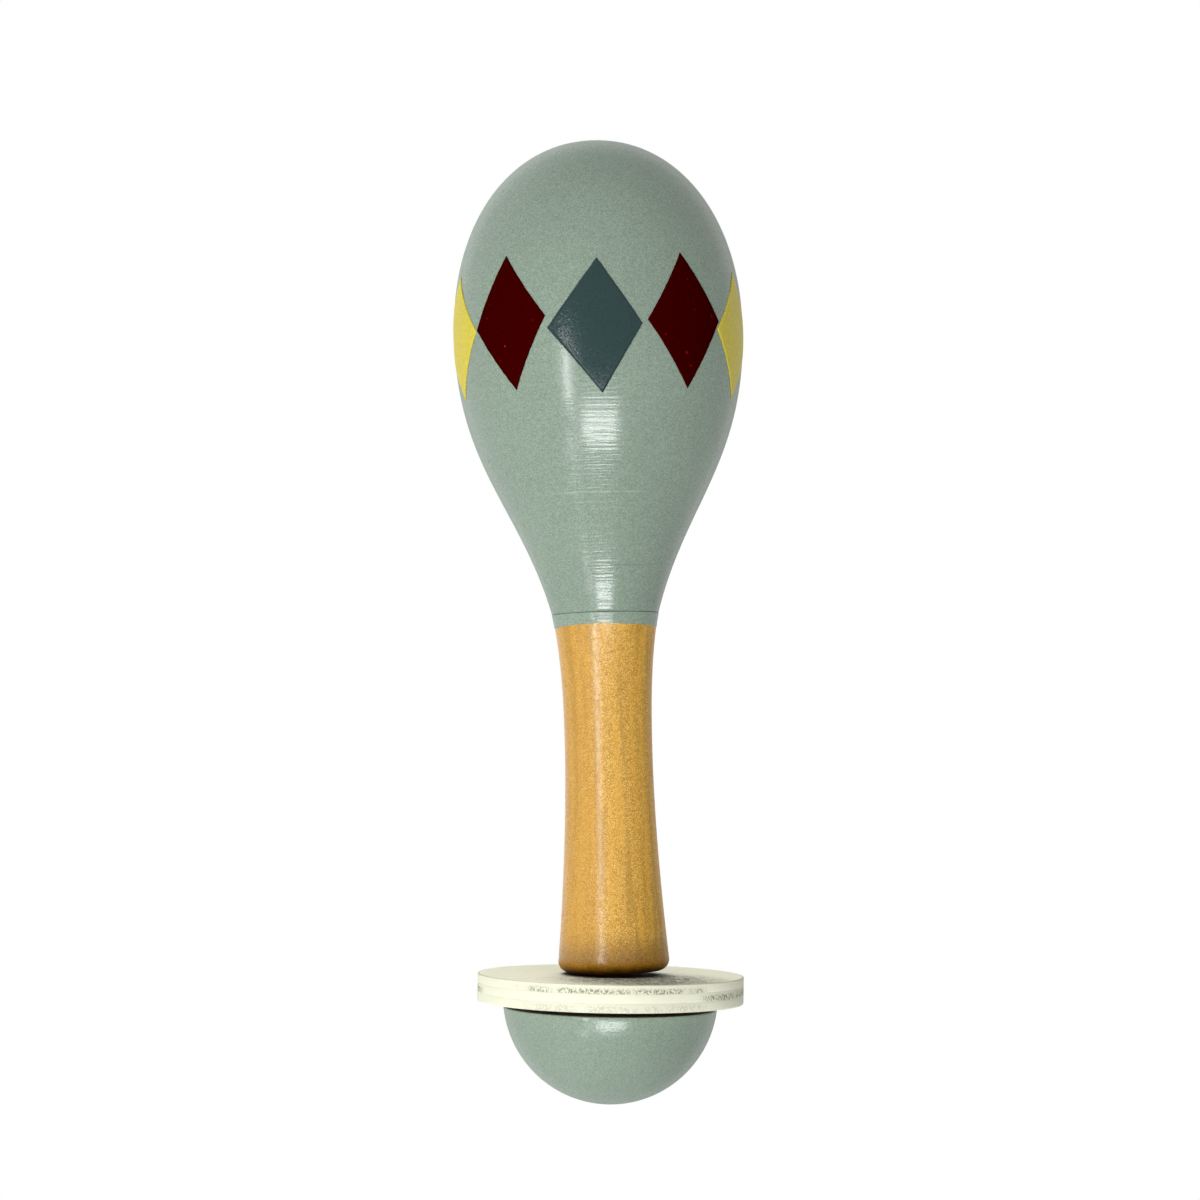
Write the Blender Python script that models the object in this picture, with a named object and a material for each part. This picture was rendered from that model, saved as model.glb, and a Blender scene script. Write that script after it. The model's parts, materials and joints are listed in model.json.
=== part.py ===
"""Wooden maraca: a turned, painted head on a waisted handle, plugged into a base of a disc and a dome.

Units are metres and +Z is up. The origin is on the maraca's axis at the handle's waist, where a hand
holds it, and -Y is the front. Heights are measured from the handle's lower end, and the pieces of the
base from the top end of the dowel that carries them.
"""

import math

import bmesh
import bpy

# Clearance between pieces that touch
FIT_GAP = 0.0003

# Handle
HANDLE_LENGTH = 0.0798
HANDLE_END_RADIUS = 0.01265
HANDLE_END_ROUNDING = 0.0025
WAIST_RADIUS = 0.00983
WAIST_HEIGHT = 0.0490
SHOULDER_RADIUS = 0.0119
LOWER_FLARE_POWER = 1.75
UPPER_FLARE_POWER = 2.7

# Tenon that joins the handle to the head
TENON_RADIUS = 0.0065
TENON_LENGTH = 0.018
TENON_CHAMFER = 0.0006

# Head, outside: heights above the handle's shoulder
HEAD_RADIUS = 0.0326
WIDEST_ABOVE_SHOULDER = 0.0636
CROWN_HEIGHT = 0.0434
CROWN_POWER = 2.12
NECK_RADIUS = 0.01195
NECK_SLOPE = 0.267
NECK_PULL = 0.0245
BELLY_PULL = 0.0298

# Head, inside, and the glued joint between its two shells
JOINT_ABOVE_SHOULDER = 0.0256
SPIGOT_RADIUS = 0.018
SPIGOT_LENGTH = 0.005
HEAD_WALL = 0.005

# Diamonds stuck round the head
DIAMOND_COLOURS = ("blue", "red", "yellow", "red", "blue", "red", "blue", "red", "yellow", "red")
DIAMOND_HEIGHT = 0.0286
DIAMOND_RING_BELOW_WIDEST = 0.0022
DIAMOND_TIP_GAP = 0.0006
FILM_THICKNESS = 0.00025
FILM_GAP = 0.00015

# Beads that lie on the floor of the head: how many in each ring, and the ring's radius
BEAD_RADIUS = 0.0025
BEAD_RINGS = ((1, 0.0), (6, 0.0063), (9, 0.0126))

# Base: it sits slightly out of square on its dowel
BASE_TILT = math.radians(2.35)
DOWEL_RADIUS = 0.004
DOWEL_IN_HANDLE = 0.018
DOWEL_IN_DOME = 0.010
DOWEL_CHAMFER = 0.0005
DISC_RADIUS = 0.0297
DISC_THICKNESS = 0.006
DISC_EDGE_BREAK = 0.0002
DOME_RADIUS = 0.0240
DOME_HEIGHT = 0.0224

# Facets: steps round the axis, then steps along each curve
ROUND_STEPS = 48
HANDLE_STEPS = 40
DOWEL_STEPS = 24
OUTER_ARC_STEPS = 12
OUTER_SIDE_STEPS = 7
INNER_ARC_STEPS = 8
INNER_SIDE_STEPS = 4
NECK_STEPS = 9
UPPER_GRIP_STEPS = 6
LOWER_GRIP_STEPS = 7
ROUNDING_STEPS = 4
DOME_STEPS = 12
DIAMOND_CELLS = 6
BEAD_STEPS = 2
SHARP_ANGLE = math.radians(35)
MERGE_DISTANCE = 1e-6
HALVINGS = 40

# Heights worked out from the sizes above
WIDEST_HEIGHT = HANDLE_LENGTH + WIDEST_ABOVE_SHOULDER
JOINT_HEIGHT = HANDLE_LENGTH + JOINT_ABOVE_SHOULDER
FLOOR_HEIGHT = JOINT_HEIGHT + SPIGOT_LENGTH
DIAMOND_RING_HEIGHT = WIDEST_HEIGHT - DIAMOND_RING_BELOW_WIDEST
HANDLE_FLAT_RADIUS = HANDLE_END_RADIUS - HANDLE_END_ROUNDING

# Depths below the dowel's top end
DISC_TOP = -(DOWEL_IN_HANDLE + FIT_GAP + HANDLE_FLAT_RADIUS * math.sin(BASE_TILT))
DISC_UNDERSIDE = DISC_TOP - DISC_THICKNESS
DOME_TOP = DISC_UNDERSIDE - FIT_GAP
DOWEL_BOTTOM = DOME_TOP - DOWEL_IN_DOME
DOWEL_HOLE_RADIUS = DOWEL_RADIUS + FIT_GAP

# Each finish's sRGB colour and roughness
FINISHES = {
    "sage_paint": ((0.58, 0.64, 0.58), 0.42),
    "varnished_wood": ((0.85, 0.68, 0.36), 0.38),
    "raw_plywood": ((0.94, 0.93, 0.84), 0.75),
    "pale_dowel": ((0.84, 0.72, 0.50), 0.60),
    "dark_bead": ((0.42, 0.27, 0.15), 0.50),
    "blue_film": ((0.21, 0.29, 0.30), 0.50),
    "red_film": ((0.21, 0.01, 0.01), 0.50),
    "yellow_film": ((0.85, 0.79, 0.41), 0.50),
}


def clear_scene():
    """Remove every object that the scene starts with."""
    for thing in list(bpy.data.objects):
        bpy.data.objects.remove(thing, do_unlink=True)


def linear(value):
    """Turn one sRGB channel into a linear one."""
    return value / 12.92 if value <= 0.04045 else ((value + 0.055) / 1.055) ** 2.4


def finish(name, kind):
    """Make a plain non-metal material of one of the finishes."""
    colour, roughness = FINISHES[kind]
    material = bpy.data.materials.new(name)
    material.use_nodes = True
    shader = material.node_tree.nodes["Principled BSDF"]
    shader.inputs["Base Color"].default_value = (*map(linear, colour), 1.0)
    shader.inputs["Roughness"].default_value = roughness
    shader.inputs["Metallic"].default_value = 0.0
    return material


def add_object(name, mesh, parent):
    """Link a mesh into the scene under a parent empty."""
    thing = bpy.data.objects.new(name, mesh)
    bpy.context.collection.objects.link(thing)
    thing.parent = parent
    return thing


def add_empty(name, location, tilt=0.0, parent=None):
    """Add a frame that other objects hang from, tilted about Y."""
    frame = bpy.data.objects.new(name, None)
    bpy.context.collection.objects.link(frame)
    frame.parent = parent
    frame.location = location
    frame.rotation_euler = (0.0, tilt, 0.0)
    return frame


def turned_mesh(name, profile, steps):
    """Spin a half profile of (radius, height) points round Z into a closed solid."""
    shape = bmesh.new()
    points = [shape.verts.new((radius, 0.0, height)) for radius, height in profile]
    edges = [shape.edges.new(pair) for pair in zip(points, points[1:])]
    if profile[0][0] > 0.0:
        edges.append(shape.edges.new((points[-1], points[0])))
    bmesh.ops.spin(shape, geom=points + edges, axis=(0, 0, 1), cent=(0, 0, 0),
                   angle=math.tau, steps=steps, use_merge=True)
    bmesh.ops.remove_doubles(shape, verts=shape.verts, dist=MERGE_DISTANCE)
    bmesh.ops.recalc_face_normals(shape, faces=shape.faces)
    mesh = bpy.data.meshes.new(name)
    shape.to_mesh(mesh)
    shape.free()
    mesh.shade_smooth()
    mesh.set_sharp_from_angle(angle=SHARP_ANGLE)
    return mesh


def add_turned(name, profile, material, parent, steps=ROUND_STEPS):
    """Add a turned piece in its material."""
    mesh = turned_mesh(name, profile, steps)
    mesh.materials.append(material)
    return add_object(name, mesh, parent)


def spread(start, end, count):
    """Give count + 1 evenly spaced values from start to end."""
    return [start + (end - start) * index / count for index in range(count + 1)]


def handle_radius(height):
    """Radius of the waisted grip at a height above its lower end."""
    if height < WAIST_HEIGHT:
        reach = (WAIST_HEIGHT - height) / WAIST_HEIGHT
        return WAIST_RADIUS + (HANDLE_END_RADIUS - WAIST_RADIUS) * reach ** LOWER_FLARE_POWER
    reach = (height - WAIST_HEIGHT) / (HANDLE_LENGTH - WAIST_HEIGHT)
    return WAIST_RADIUS + (SHOULDER_RADIUS - WAIST_RADIUS) * reach ** UPPER_FLARE_POWER


def bezier(a, b, c, d, t):
    """One coordinate of a cubic curve with end values a and d."""
    s = 1.0 - t
    return s ** 3 * a + 3 * s * s * t * b + 3 * s * t * t * c + t ** 3 * d


def belly_radius(height):
    """Radius of the head between its neck and its widest ring."""
    low, high = 0.0, 1.0
    for _ in range(HALVINGS):
        t = (low + high) / 2
        at = bezier(HANDLE_LENGTH, HANDLE_LENGTH + NECK_PULL, WIDEST_HEIGHT - BELLY_PULL, WIDEST_HEIGHT, t)
        low, high = (t, high) if at < height else (low, t)
    return bezier(NECK_RADIUS, NECK_RADIUS + NECK_SLOPE * NECK_PULL, HEAD_RADIUS, HEAD_RADIUS, t)


def head_radius(height):
    """Outer radius of the head at a height, up to just below its crown."""
    if height < WIDEST_HEIGHT:
        return belly_radius(height)
    rise = (height - WIDEST_HEIGHT) / CROWN_HEIGHT
    return HEAD_RADIUS * (1.0 - rise ** CROWN_POWER) ** (1.0 / CROWN_POWER)


def crown_arc(radius, rise, count):
    """Points of a slightly squared half oval, from its top on the axis to its widest ring."""
    points = []
    for angle in spread(math.pi / 2, 0.0, count):
        across = radius * max(math.cos(angle), 0.0) ** (2 / CROWN_POWER)
        points.append((across, WIDEST_HEIGHT + rise * math.sin(angle) ** (2 / CROWN_POWER)))
    points[0] = (0.0, WIDEST_HEIGHT + rise)
    return points


def cavity_wall(count):
    """Points of the hollow's side, from its widest ring down to its floor."""
    mouth = SPIGOT_RADIUS + FIT_GAP
    swell = HEAD_RADIUS - HEAD_WALL - mouth
    points = []
    for height in spread(WIDEST_HEIGHT, FLOOR_HEIGHT, count):
        share = (height - FLOOR_HEIGHT) / (WIDEST_HEIGHT - FLOOR_HEIGHT)
        points.append((mouth + swell * math.sin(share * math.pi / 2), height))
    return points


def build_crown(parent, material):
    """Hollow upper shell of the head, open below where the neck's spigot closes it."""
    rim = JOINT_HEIGHT + FIT_GAP
    outside = crown_arc(HEAD_RADIUS, CROWN_HEIGHT, OUTER_ARC_STEPS)
    heights = spread(WIDEST_HEIGHT, rim, OUTER_SIDE_STEPS)[1:]
    outside += [(head_radius(height), height) for height in heights]
    inside = crown_arc(HEAD_RADIUS - HEAD_WALL, CROWN_HEIGHT - HEAD_WALL, INNER_ARC_STEPS)
    inside += cavity_wall(INNER_SIDE_STEPS)[1:]
    inside.append((SPIGOT_RADIUS + FIT_GAP, rim))
    return add_turned("head_crown", outside + inside[::-1], material, parent)


def build_neck(parent, material):
    """Lower part of the head: a spigot that closes the hollow, and a socket for the handle's tenon."""
    foot = HANDLE_LENGTH + FIT_GAP
    socket_radius = TENON_RADIUS + FIT_GAP
    socket_top = HANDLE_LENGTH + TENON_LENGTH + FIT_GAP
    profile = [(0.0, FLOOR_HEIGHT), (SPIGOT_RADIUS, FLOOR_HEIGHT), (SPIGOT_RADIUS, JOINT_HEIGHT)]
    profile += [(head_radius(height), height) for height in spread(JOINT_HEIGHT, foot, NECK_STEPS)]
    profile += [(socket_radius, foot), (socket_radius, socket_top), (0.0, socket_top)]
    return add_turned("head_neck", profile, material, parent)


def build_handle(parent, base_frame, material):
    """Waisted grip with a tenon on top and a bore for the base's dowel in its lower end."""
    tip = HANDLE_LENGTH + TENON_LENGTH
    profile = [(0.0, tip), (TENON_RADIUS - TENON_CHAMFER, tip), (TENON_RADIUS, tip - TENON_CHAMFER)]
    profile.append((TENON_RADIUS, HANDLE_LENGTH))
    heights = spread(HANDLE_LENGTH, WAIST_HEIGHT, UPPER_GRIP_STEPS)
    heights += spread(WAIST_HEIGHT, HANDLE_END_ROUNDING, LOWER_GRIP_STEPS)[1:]
    profile += [(handle_radius(height), height) for height in heights]
    corner = handle_radius(HANDLE_END_ROUNDING) - HANDLE_END_ROUNDING
    for angle in spread(0.0, math.pi / 2, ROUNDING_STEPS)[1:]:
        across = corner + HANDLE_END_ROUNDING * math.cos(angle)
        profile.append((across, HANDLE_END_ROUNDING * (1.0 - math.sin(angle))))
    profile.append((0.0, 0.0))
    handle = add_turned("handle", profile, material, parent, HANDLE_STEPS)

    bore = [(0.0, FIT_GAP), (DOWEL_HOLE_RADIUS, FIT_GAP)]
    bore += [(DOWEL_HOLE_RADIUS, DISC_UNDERSIDE), (0.0, DISC_UNDERSIDE)]
    cutter = add_object("dowel_bore_cutter", turned_mesh("dowel_bore", bore, DOWEL_STEPS), base_frame)
    cutter.hide_render = True
    cutter.display_type = "WIRE"
    cut = handle.modifiers.new("dowel_bore", "BOOLEAN")
    cut.operation = "DIFFERENCE"
    cut.solver = "EXACT"
    cut.object = cutter
    return handle


def build_diamond(name, facing, parent, material):
    """One thin diamond of film that follows the head's curve, turned to its place round the axis."""
    cells = DIAMOND_CELLS
    half_turn = math.pi / len(DIAMOND_COLOURS) - DIAMOND_TIP_GAP / (2 * HEAD_RADIUS)
    sheet = bmesh.new()
    grid = {}
    for column in range(cells + 1):
        for row in range(cells + 1):
            turn = facing + half_turn * (column - row) / cells
            height = DIAMOND_RING_HEIGHT + DIAMOND_HEIGHT * (0.5 - (column + row) / (2 * cells))
            radius = head_radius(height) + FILM_GAP
            grid[column, row] = sheet.verts.new((radius * math.sin(turn), -radius * math.cos(turn), height))
    for column in range(cells):
        for row in range(cells):
            corners = ((column, row), (column, row + 1), (column + 1, row + 1), (column + 1, row))
            sheet.faces.new([grid[corner] for corner in corners])
    mesh = bpy.data.meshes.new(name)
    sheet.to_mesh(mesh)
    sheet.free()
    mesh.shade_smooth()
    mesh.materials.append(material)
    diamond = add_object(name, mesh, parent)
    film = diamond.modifiers.new("film", "SOLIDIFY")
    film.thickness = FILM_THICKNESS
    film.offset = 1.0
    return diamond


def build_beads(parent, material):
    """Loose beads in rings on the floor of the head."""
    shape = bmesh.new()
    bmesh.ops.create_icosphere(shape, subdivisions=BEAD_STEPS, radius=BEAD_RADIUS)
    mesh = bpy.data.meshes.new("rattle_bead")
    shape.to_mesh(mesh)
    shape.free()
    mesh.shade_smooth()
    mesh.materials.append(material)
    number = 0
    for count, radius in BEAD_RINGS:
        for index in range(count):
            number += 1
            turn = math.tau * index / count
            bead = add_object(f"rattle_bead_{number:02d}", mesh, parent)
            height = FLOOR_HEIGHT + FIT_GAP + BEAD_RADIUS
            bead.location = (radius * math.sin(turn), -radius * math.cos(turn), height)


def build_disc(parent, material):
    """Round of plywood with lightly broken edges and a hole for the dowel."""
    inner = DISC_RADIUS - DISC_EDGE_BREAK
    profile = [
        (DOWEL_HOLE_RADIUS, DISC_TOP),
        (inner, DISC_TOP),
        (DISC_RADIUS, DISC_TOP - DISC_EDGE_BREAK),
        (DISC_RADIUS, DISC_UNDERSIDE + DISC_EDGE_BREAK),
        (inner, DISC_UNDERSIDE),
        (DOWEL_HOLE_RADIUS, DISC_UNDERSIDE),
    ]
    return add_turned("base_disc", profile, material, parent)


def build_dome(parent, material):
    """Half ball under the disc, bored from its flat top for the dowel."""
    floor = DOWEL_BOTTOM - FIT_GAP
    centre = DOME_TOP - DOME_HEIGHT + DOME_RADIUS
    start = math.asin((DOME_TOP - centre) / DOME_RADIUS)
    profile = [(0.0, floor), (DOWEL_HOLE_RADIUS, floor), (DOWEL_HOLE_RADIUS, DOME_TOP)]
    for angle in spread(start, -math.pi / 2, DOME_STEPS)[:-1]:
        profile.append((DOME_RADIUS * math.cos(angle), centre + DOME_RADIUS * math.sin(angle)))
    profile.append((0.0, centre - DOME_RADIUS))
    return add_turned("base_dome", profile, material, parent)


def build_dowel(parent, material):
    """Round pin from the handle's bore through the disc into the dome."""
    narrow = DOWEL_RADIUS - DOWEL_CHAMFER
    profile = [
        (0.0, 0.0),
        (narrow, 0.0),
        (DOWEL_RADIUS, -DOWEL_CHAMFER),
        (DOWEL_RADIUS, DOWEL_BOTTOM + DOWEL_CHAMFER),
        (narrow, DOWEL_BOTTOM),
        (0.0, DOWEL_BOTTOM),
    ]
    return add_turned("base_dowel", profile, material, parent, DOWEL_STEPS)


def main():
    """Build the maraca and its base."""
    clear_scene()
    maraca = add_empty("maraca_frame", (0.0, 0.0, -WAIST_HEIGHT))
    base = add_empty("base_frame", (0.0, 0.0, DOWEL_IN_HANDLE), BASE_TILT, maraca)

    build_crown(maraca, finish("crown_paint", "sage_paint"))
    build_neck(maraca, finish("neck_paint", "sage_paint"))
    build_handle(maraca, base, finish("handle_varnish", "varnished_wood"))
    for index, colour in enumerate(DIAMOND_COLOURS):
        facing = math.tau * index / len(DIAMOND_COLOURS)
        name = f"diamond_{index + 1:02d}_{colour}"
        build_diamond(name, facing, maraca, finish(f"{name}_film", f"{colour}_film"))
    build_beads(maraca, finish("bead_wood", "dark_bead"))
    build_disc(base, finish("disc_plywood", "raw_plywood"))
    build_dome(base, finish("dome_paint", "sage_paint"))
    build_dowel(base, finish("dowel_wood", "pale_dowel"))


main()
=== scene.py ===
"""Looks of a wooden maraca: painted head, varnished handle, stuck-on diamonds and a plywood base.

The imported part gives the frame, in metres, with +Z up and the front of the maraca towards -Y. Each
sub-assembly is a class that models its pieces, dresses them in a finish and fits them to the frame.
"""

import json
import logging
import math
from dataclasses import dataclass, field
from enum import Enum
from typing import Any, Callable

import bmesh
import bpy
import numpy as np
from mathutils import Euler, Matrix, Vector


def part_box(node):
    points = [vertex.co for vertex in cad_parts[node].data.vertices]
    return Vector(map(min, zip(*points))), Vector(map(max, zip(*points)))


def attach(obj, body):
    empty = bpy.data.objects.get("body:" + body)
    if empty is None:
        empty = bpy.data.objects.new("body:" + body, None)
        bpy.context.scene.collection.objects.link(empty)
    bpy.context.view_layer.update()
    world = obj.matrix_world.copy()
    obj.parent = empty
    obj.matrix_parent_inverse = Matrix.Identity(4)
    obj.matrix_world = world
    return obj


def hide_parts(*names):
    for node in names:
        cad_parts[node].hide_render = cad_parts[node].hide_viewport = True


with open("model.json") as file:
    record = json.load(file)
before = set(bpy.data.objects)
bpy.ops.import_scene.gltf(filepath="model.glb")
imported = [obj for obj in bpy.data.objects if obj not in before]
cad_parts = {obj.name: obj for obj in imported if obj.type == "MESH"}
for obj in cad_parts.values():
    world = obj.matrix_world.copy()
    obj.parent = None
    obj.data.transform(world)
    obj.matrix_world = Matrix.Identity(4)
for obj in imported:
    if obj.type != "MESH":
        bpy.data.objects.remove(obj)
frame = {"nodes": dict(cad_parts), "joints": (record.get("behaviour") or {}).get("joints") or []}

LOG = logging.getLogger("maraca")
MERGE_DISTANCE = 1e-6
SHARP_ANGLE = math.radians(35)
QUARTER_TURN = math.pi / 2
HALVINGS = 40
MM = 0.001
ALONG = "along"

Point = tuple[float, float]
Profile = list[Point]
Range = tuple[float, float]
Colour = tuple[float, float, float]
Swings = tuple[tuple[int, float, float], ...]
Piece = bpy.types.Object
Socket = bpy.types.NodeSocket
Material = bpy.types.Material


class Body(Enum):
    """Bodies of the frame that pieces ride on."""

    MARACA = "maraca"
    BASE = "base"


class Slot(Enum):
    """Material slots of the part."""

    PAINT = "sage_paint"
    VARNISH = "varnished_wood"
    PLYWOOD = "raw_plywood"
    DOWEL = "dowel_wood"
    BEAD = "bead_wood"
    BLUE = "blue_film"
    RED = "red_film"
    YELLOW = "yellow_film"


class Hue(Enum):
    """Colours that the diamonds are cut from."""

    BLUE = "blue"
    RED = "red"
    YELLOW = "yellow"


def spread(start: float, end: float, count: int) -> list[float]:
    """Space values evenly from start to end, in a count of steps."""
    return [start + (end - start) * index / count for index in range(count + 1)]


def arc(centre: Point, radius: float, start: float, end: float, count: int) -> Profile:
    """Give points of an outline along an arc, from one angle to another in a count of steps."""
    return [(centre[0] + radius * math.cos(angle), centre[1] + radius * math.sin(angle))
            for angle in spread(start, end, count)]


def linear(red: int, green: int, blue: int) -> Colour:
    """Turn an sRGB colour of 0 to 255 into a linear one."""
    shares = (red / 255, green / 255, blue / 255)
    return tuple(c / 12.92 if c <= 0.04045 else ((c + 0.055) / 1.055) ** 2.4 for c in shares)


def toned(colour: Colour, share: float) -> Colour:
    """Lighten or darken a linear colour by a share."""
    return tuple(channel * share for channel in colour)


def clear_selection() -> None:
    """Deselect everything, because operators act on all that is selected."""
    bpy.ops.object.select_all(action="DESELECT")


def make_active(piece: Piece) -> None:
    """Select one piece alone and make it active.

    Args:
        piece: Piece that the next operators act on.
    """
    clear_selection()
    piece.select_set(True)
    bpy.context.view_layer.objects.active = piece


def begin(name: str, primitive: Callable[..., Any], **settings: Any) -> Piece:
    """Add a primitive to shape a piece from.

    Args:
        name: Name of the piece and of its mesh.
        primitive: Operator that adds it.
        settings: Values for the operator.

    Returns:
        The new piece, selected alone and active.
    """
    clear_selection()
    primitive(**settings)
    piece = bpy.context.object
    piece.name = piece.data.name = name
    return piece


def pick_points(piece: Piece, wanted: Callable[[Vector], bool]) -> None:
    """Select points by their place, in edit mode.

    Args:
        piece: Piece that is being edited.
        wanted: Says whether the point at a place is picked.
    """
    bpy.ops.mesh.select_mode(type="VERT")
    bpy.ops.mesh.select_all(action="DESELECT")
    shape = bmesh.from_edit_mesh(piece.data)
    for point in shape.verts:
        point.select = wanted(point.co)
    shape.select_flush_mode()
    bmesh.update_edit_mesh(piece.data)


def apply_modifier(piece: Piece, kind: str, **settings: Any) -> None:
    """Add one modifier to a piece and apply it.

    Args:
        piece: Piece to change.
        kind: Blender's name for the modifier.
        settings: Values to set on the modifier.
    """
    make_active(piece)
    modifier = piece.modifiers.new(kind.lower(), kind)
    for name, value in settings.items():
        setattr(modifier, name, value)
    bpy.ops.object.modifier_apply(modifier=modifier.name)


def settle(piece: Piece, place: Matrix) -> None:
    """Move a piece to its place and keep that place in its mesh.

    Args:
        piece: Piece to move.
        place: Where it goes.
    """
    make_active(piece)
    piece.matrix_world = place
    bpy.ops.object.transform_apply(location=True, rotation=True, scale=True)


def smooth(piece: Piece) -> None:
    """Shade a piece smooth, apart from its sharp edges."""
    make_active(piece)
    bpy.ops.object.shade_smooth_by_angle(angle=SHARP_ANGLE)


def turn(name: str, profile: Profile, steps: int) -> Piece:
    """Turn a half outline round Z into a closed piece, as on a lathe.

    Args:
        name: Name of the piece.
        profile: Points of radius and height, from end to end of the outline.
        steps: Steps round the axis.

    Returns:
        The turned piece, which also holds each point's length along the outline.
    """
    piece = begin(name, bpy.ops.mesh.primitive_plane_add, size=MM)
    bpy.ops.object.mode_set(mode="EDIT")
    bpy.ops.mesh.merge(type="CENTER")
    bpy.ops.transform.translate(value=(profile[0][0], 0.0, profile[0][1]))
    for start, end in zip(profile, profile[1:]):
        step = (end[0] - start[0], 0.0, end[1] - start[1])
        bpy.ops.mesh.extrude_vertices_move(TRANSFORM_OT_translate={"value": step})
    bpy.ops.mesh.select_all(action="SELECT")
    bpy.ops.mesh.spin(steps=steps, angle=math.tau, use_auto_merge=True, center=(0, 0, 0), axis=(0, 0, 1))
    bpy.ops.mesh.select_all(action="SELECT")
    bpy.ops.mesh.remove_doubles(threshold=MERGE_DISTANCE)
    bpy.ops.mesh.normals_make_consistent(inside=False)
    bpy.ops.object.mode_set(mode="OBJECT")
    mark_length(piece, profile)
    smooth(piece)
    return piece


def mark_length(piece: Piece, profile: Profile) -> None:
    """Store how far along the turned outline each point lies, for patterns that follow the lathe.

    Args:
        piece: Turned piece, still on the Z axis.
        profile: Outline that it was turned from.
    """
    outline = np.array(profile)
    lengths = np.concatenate(([0.0], np.cumsum(np.hypot(*np.diff(outline, axis=0).T))))
    points = np.array([point.co for point in piece.data.vertices])
    places = np.column_stack((np.hypot(points[:, 0], points[:, 1]), points[:, 2]))
    nearest = [int(np.argmin(np.hypot(*(outline - place).T))) for place in places]
    attribute = piece.data.attributes.new(ALONG, "FLOAT", "POINT")
    attribute.data.foreach_set("value", lengths[nearest].astype(np.float32))


def shift_heights(piece: Piece, rule: Callable[[Vector], float]) -> None:
    """Raise each point of a piece by what a rule gives for its place."""
    for point in piece.data.vertices:
        point.co.z += rule(point.co)


def waves(place: Vector, swings: Swings) -> float:
    """Add up waves round the axis at a place: how many there are, their height and starting angle."""
    bearing = math.atan2(place.x, -place.y)
    return sum(height * math.cos(count * bearing + start) for count, height, start in swings)


def fit(piece: Piece, body: str, slot: Slot, finishes: tuple[Material, ...], *nodes: str) -> None:
    """Dress a finished piece and fix it to the frame.

    Args:
        piece: Piece, in place.
        body: Body that it moves with.
        slot: Material slot of the part that it belongs to; not used.
        finishes: Finishes of its faces, the main one first.
        nodes: Nodes of the frame that it stands for.
    """
    for finish in finishes:
        piece.data.materials.append(finish)
    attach(piece, body)
    if nodes:
        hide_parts(*nodes)
    LOG.info("%s: %d faces on %s", piece.name, len(piece.data.polygons), body)


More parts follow.
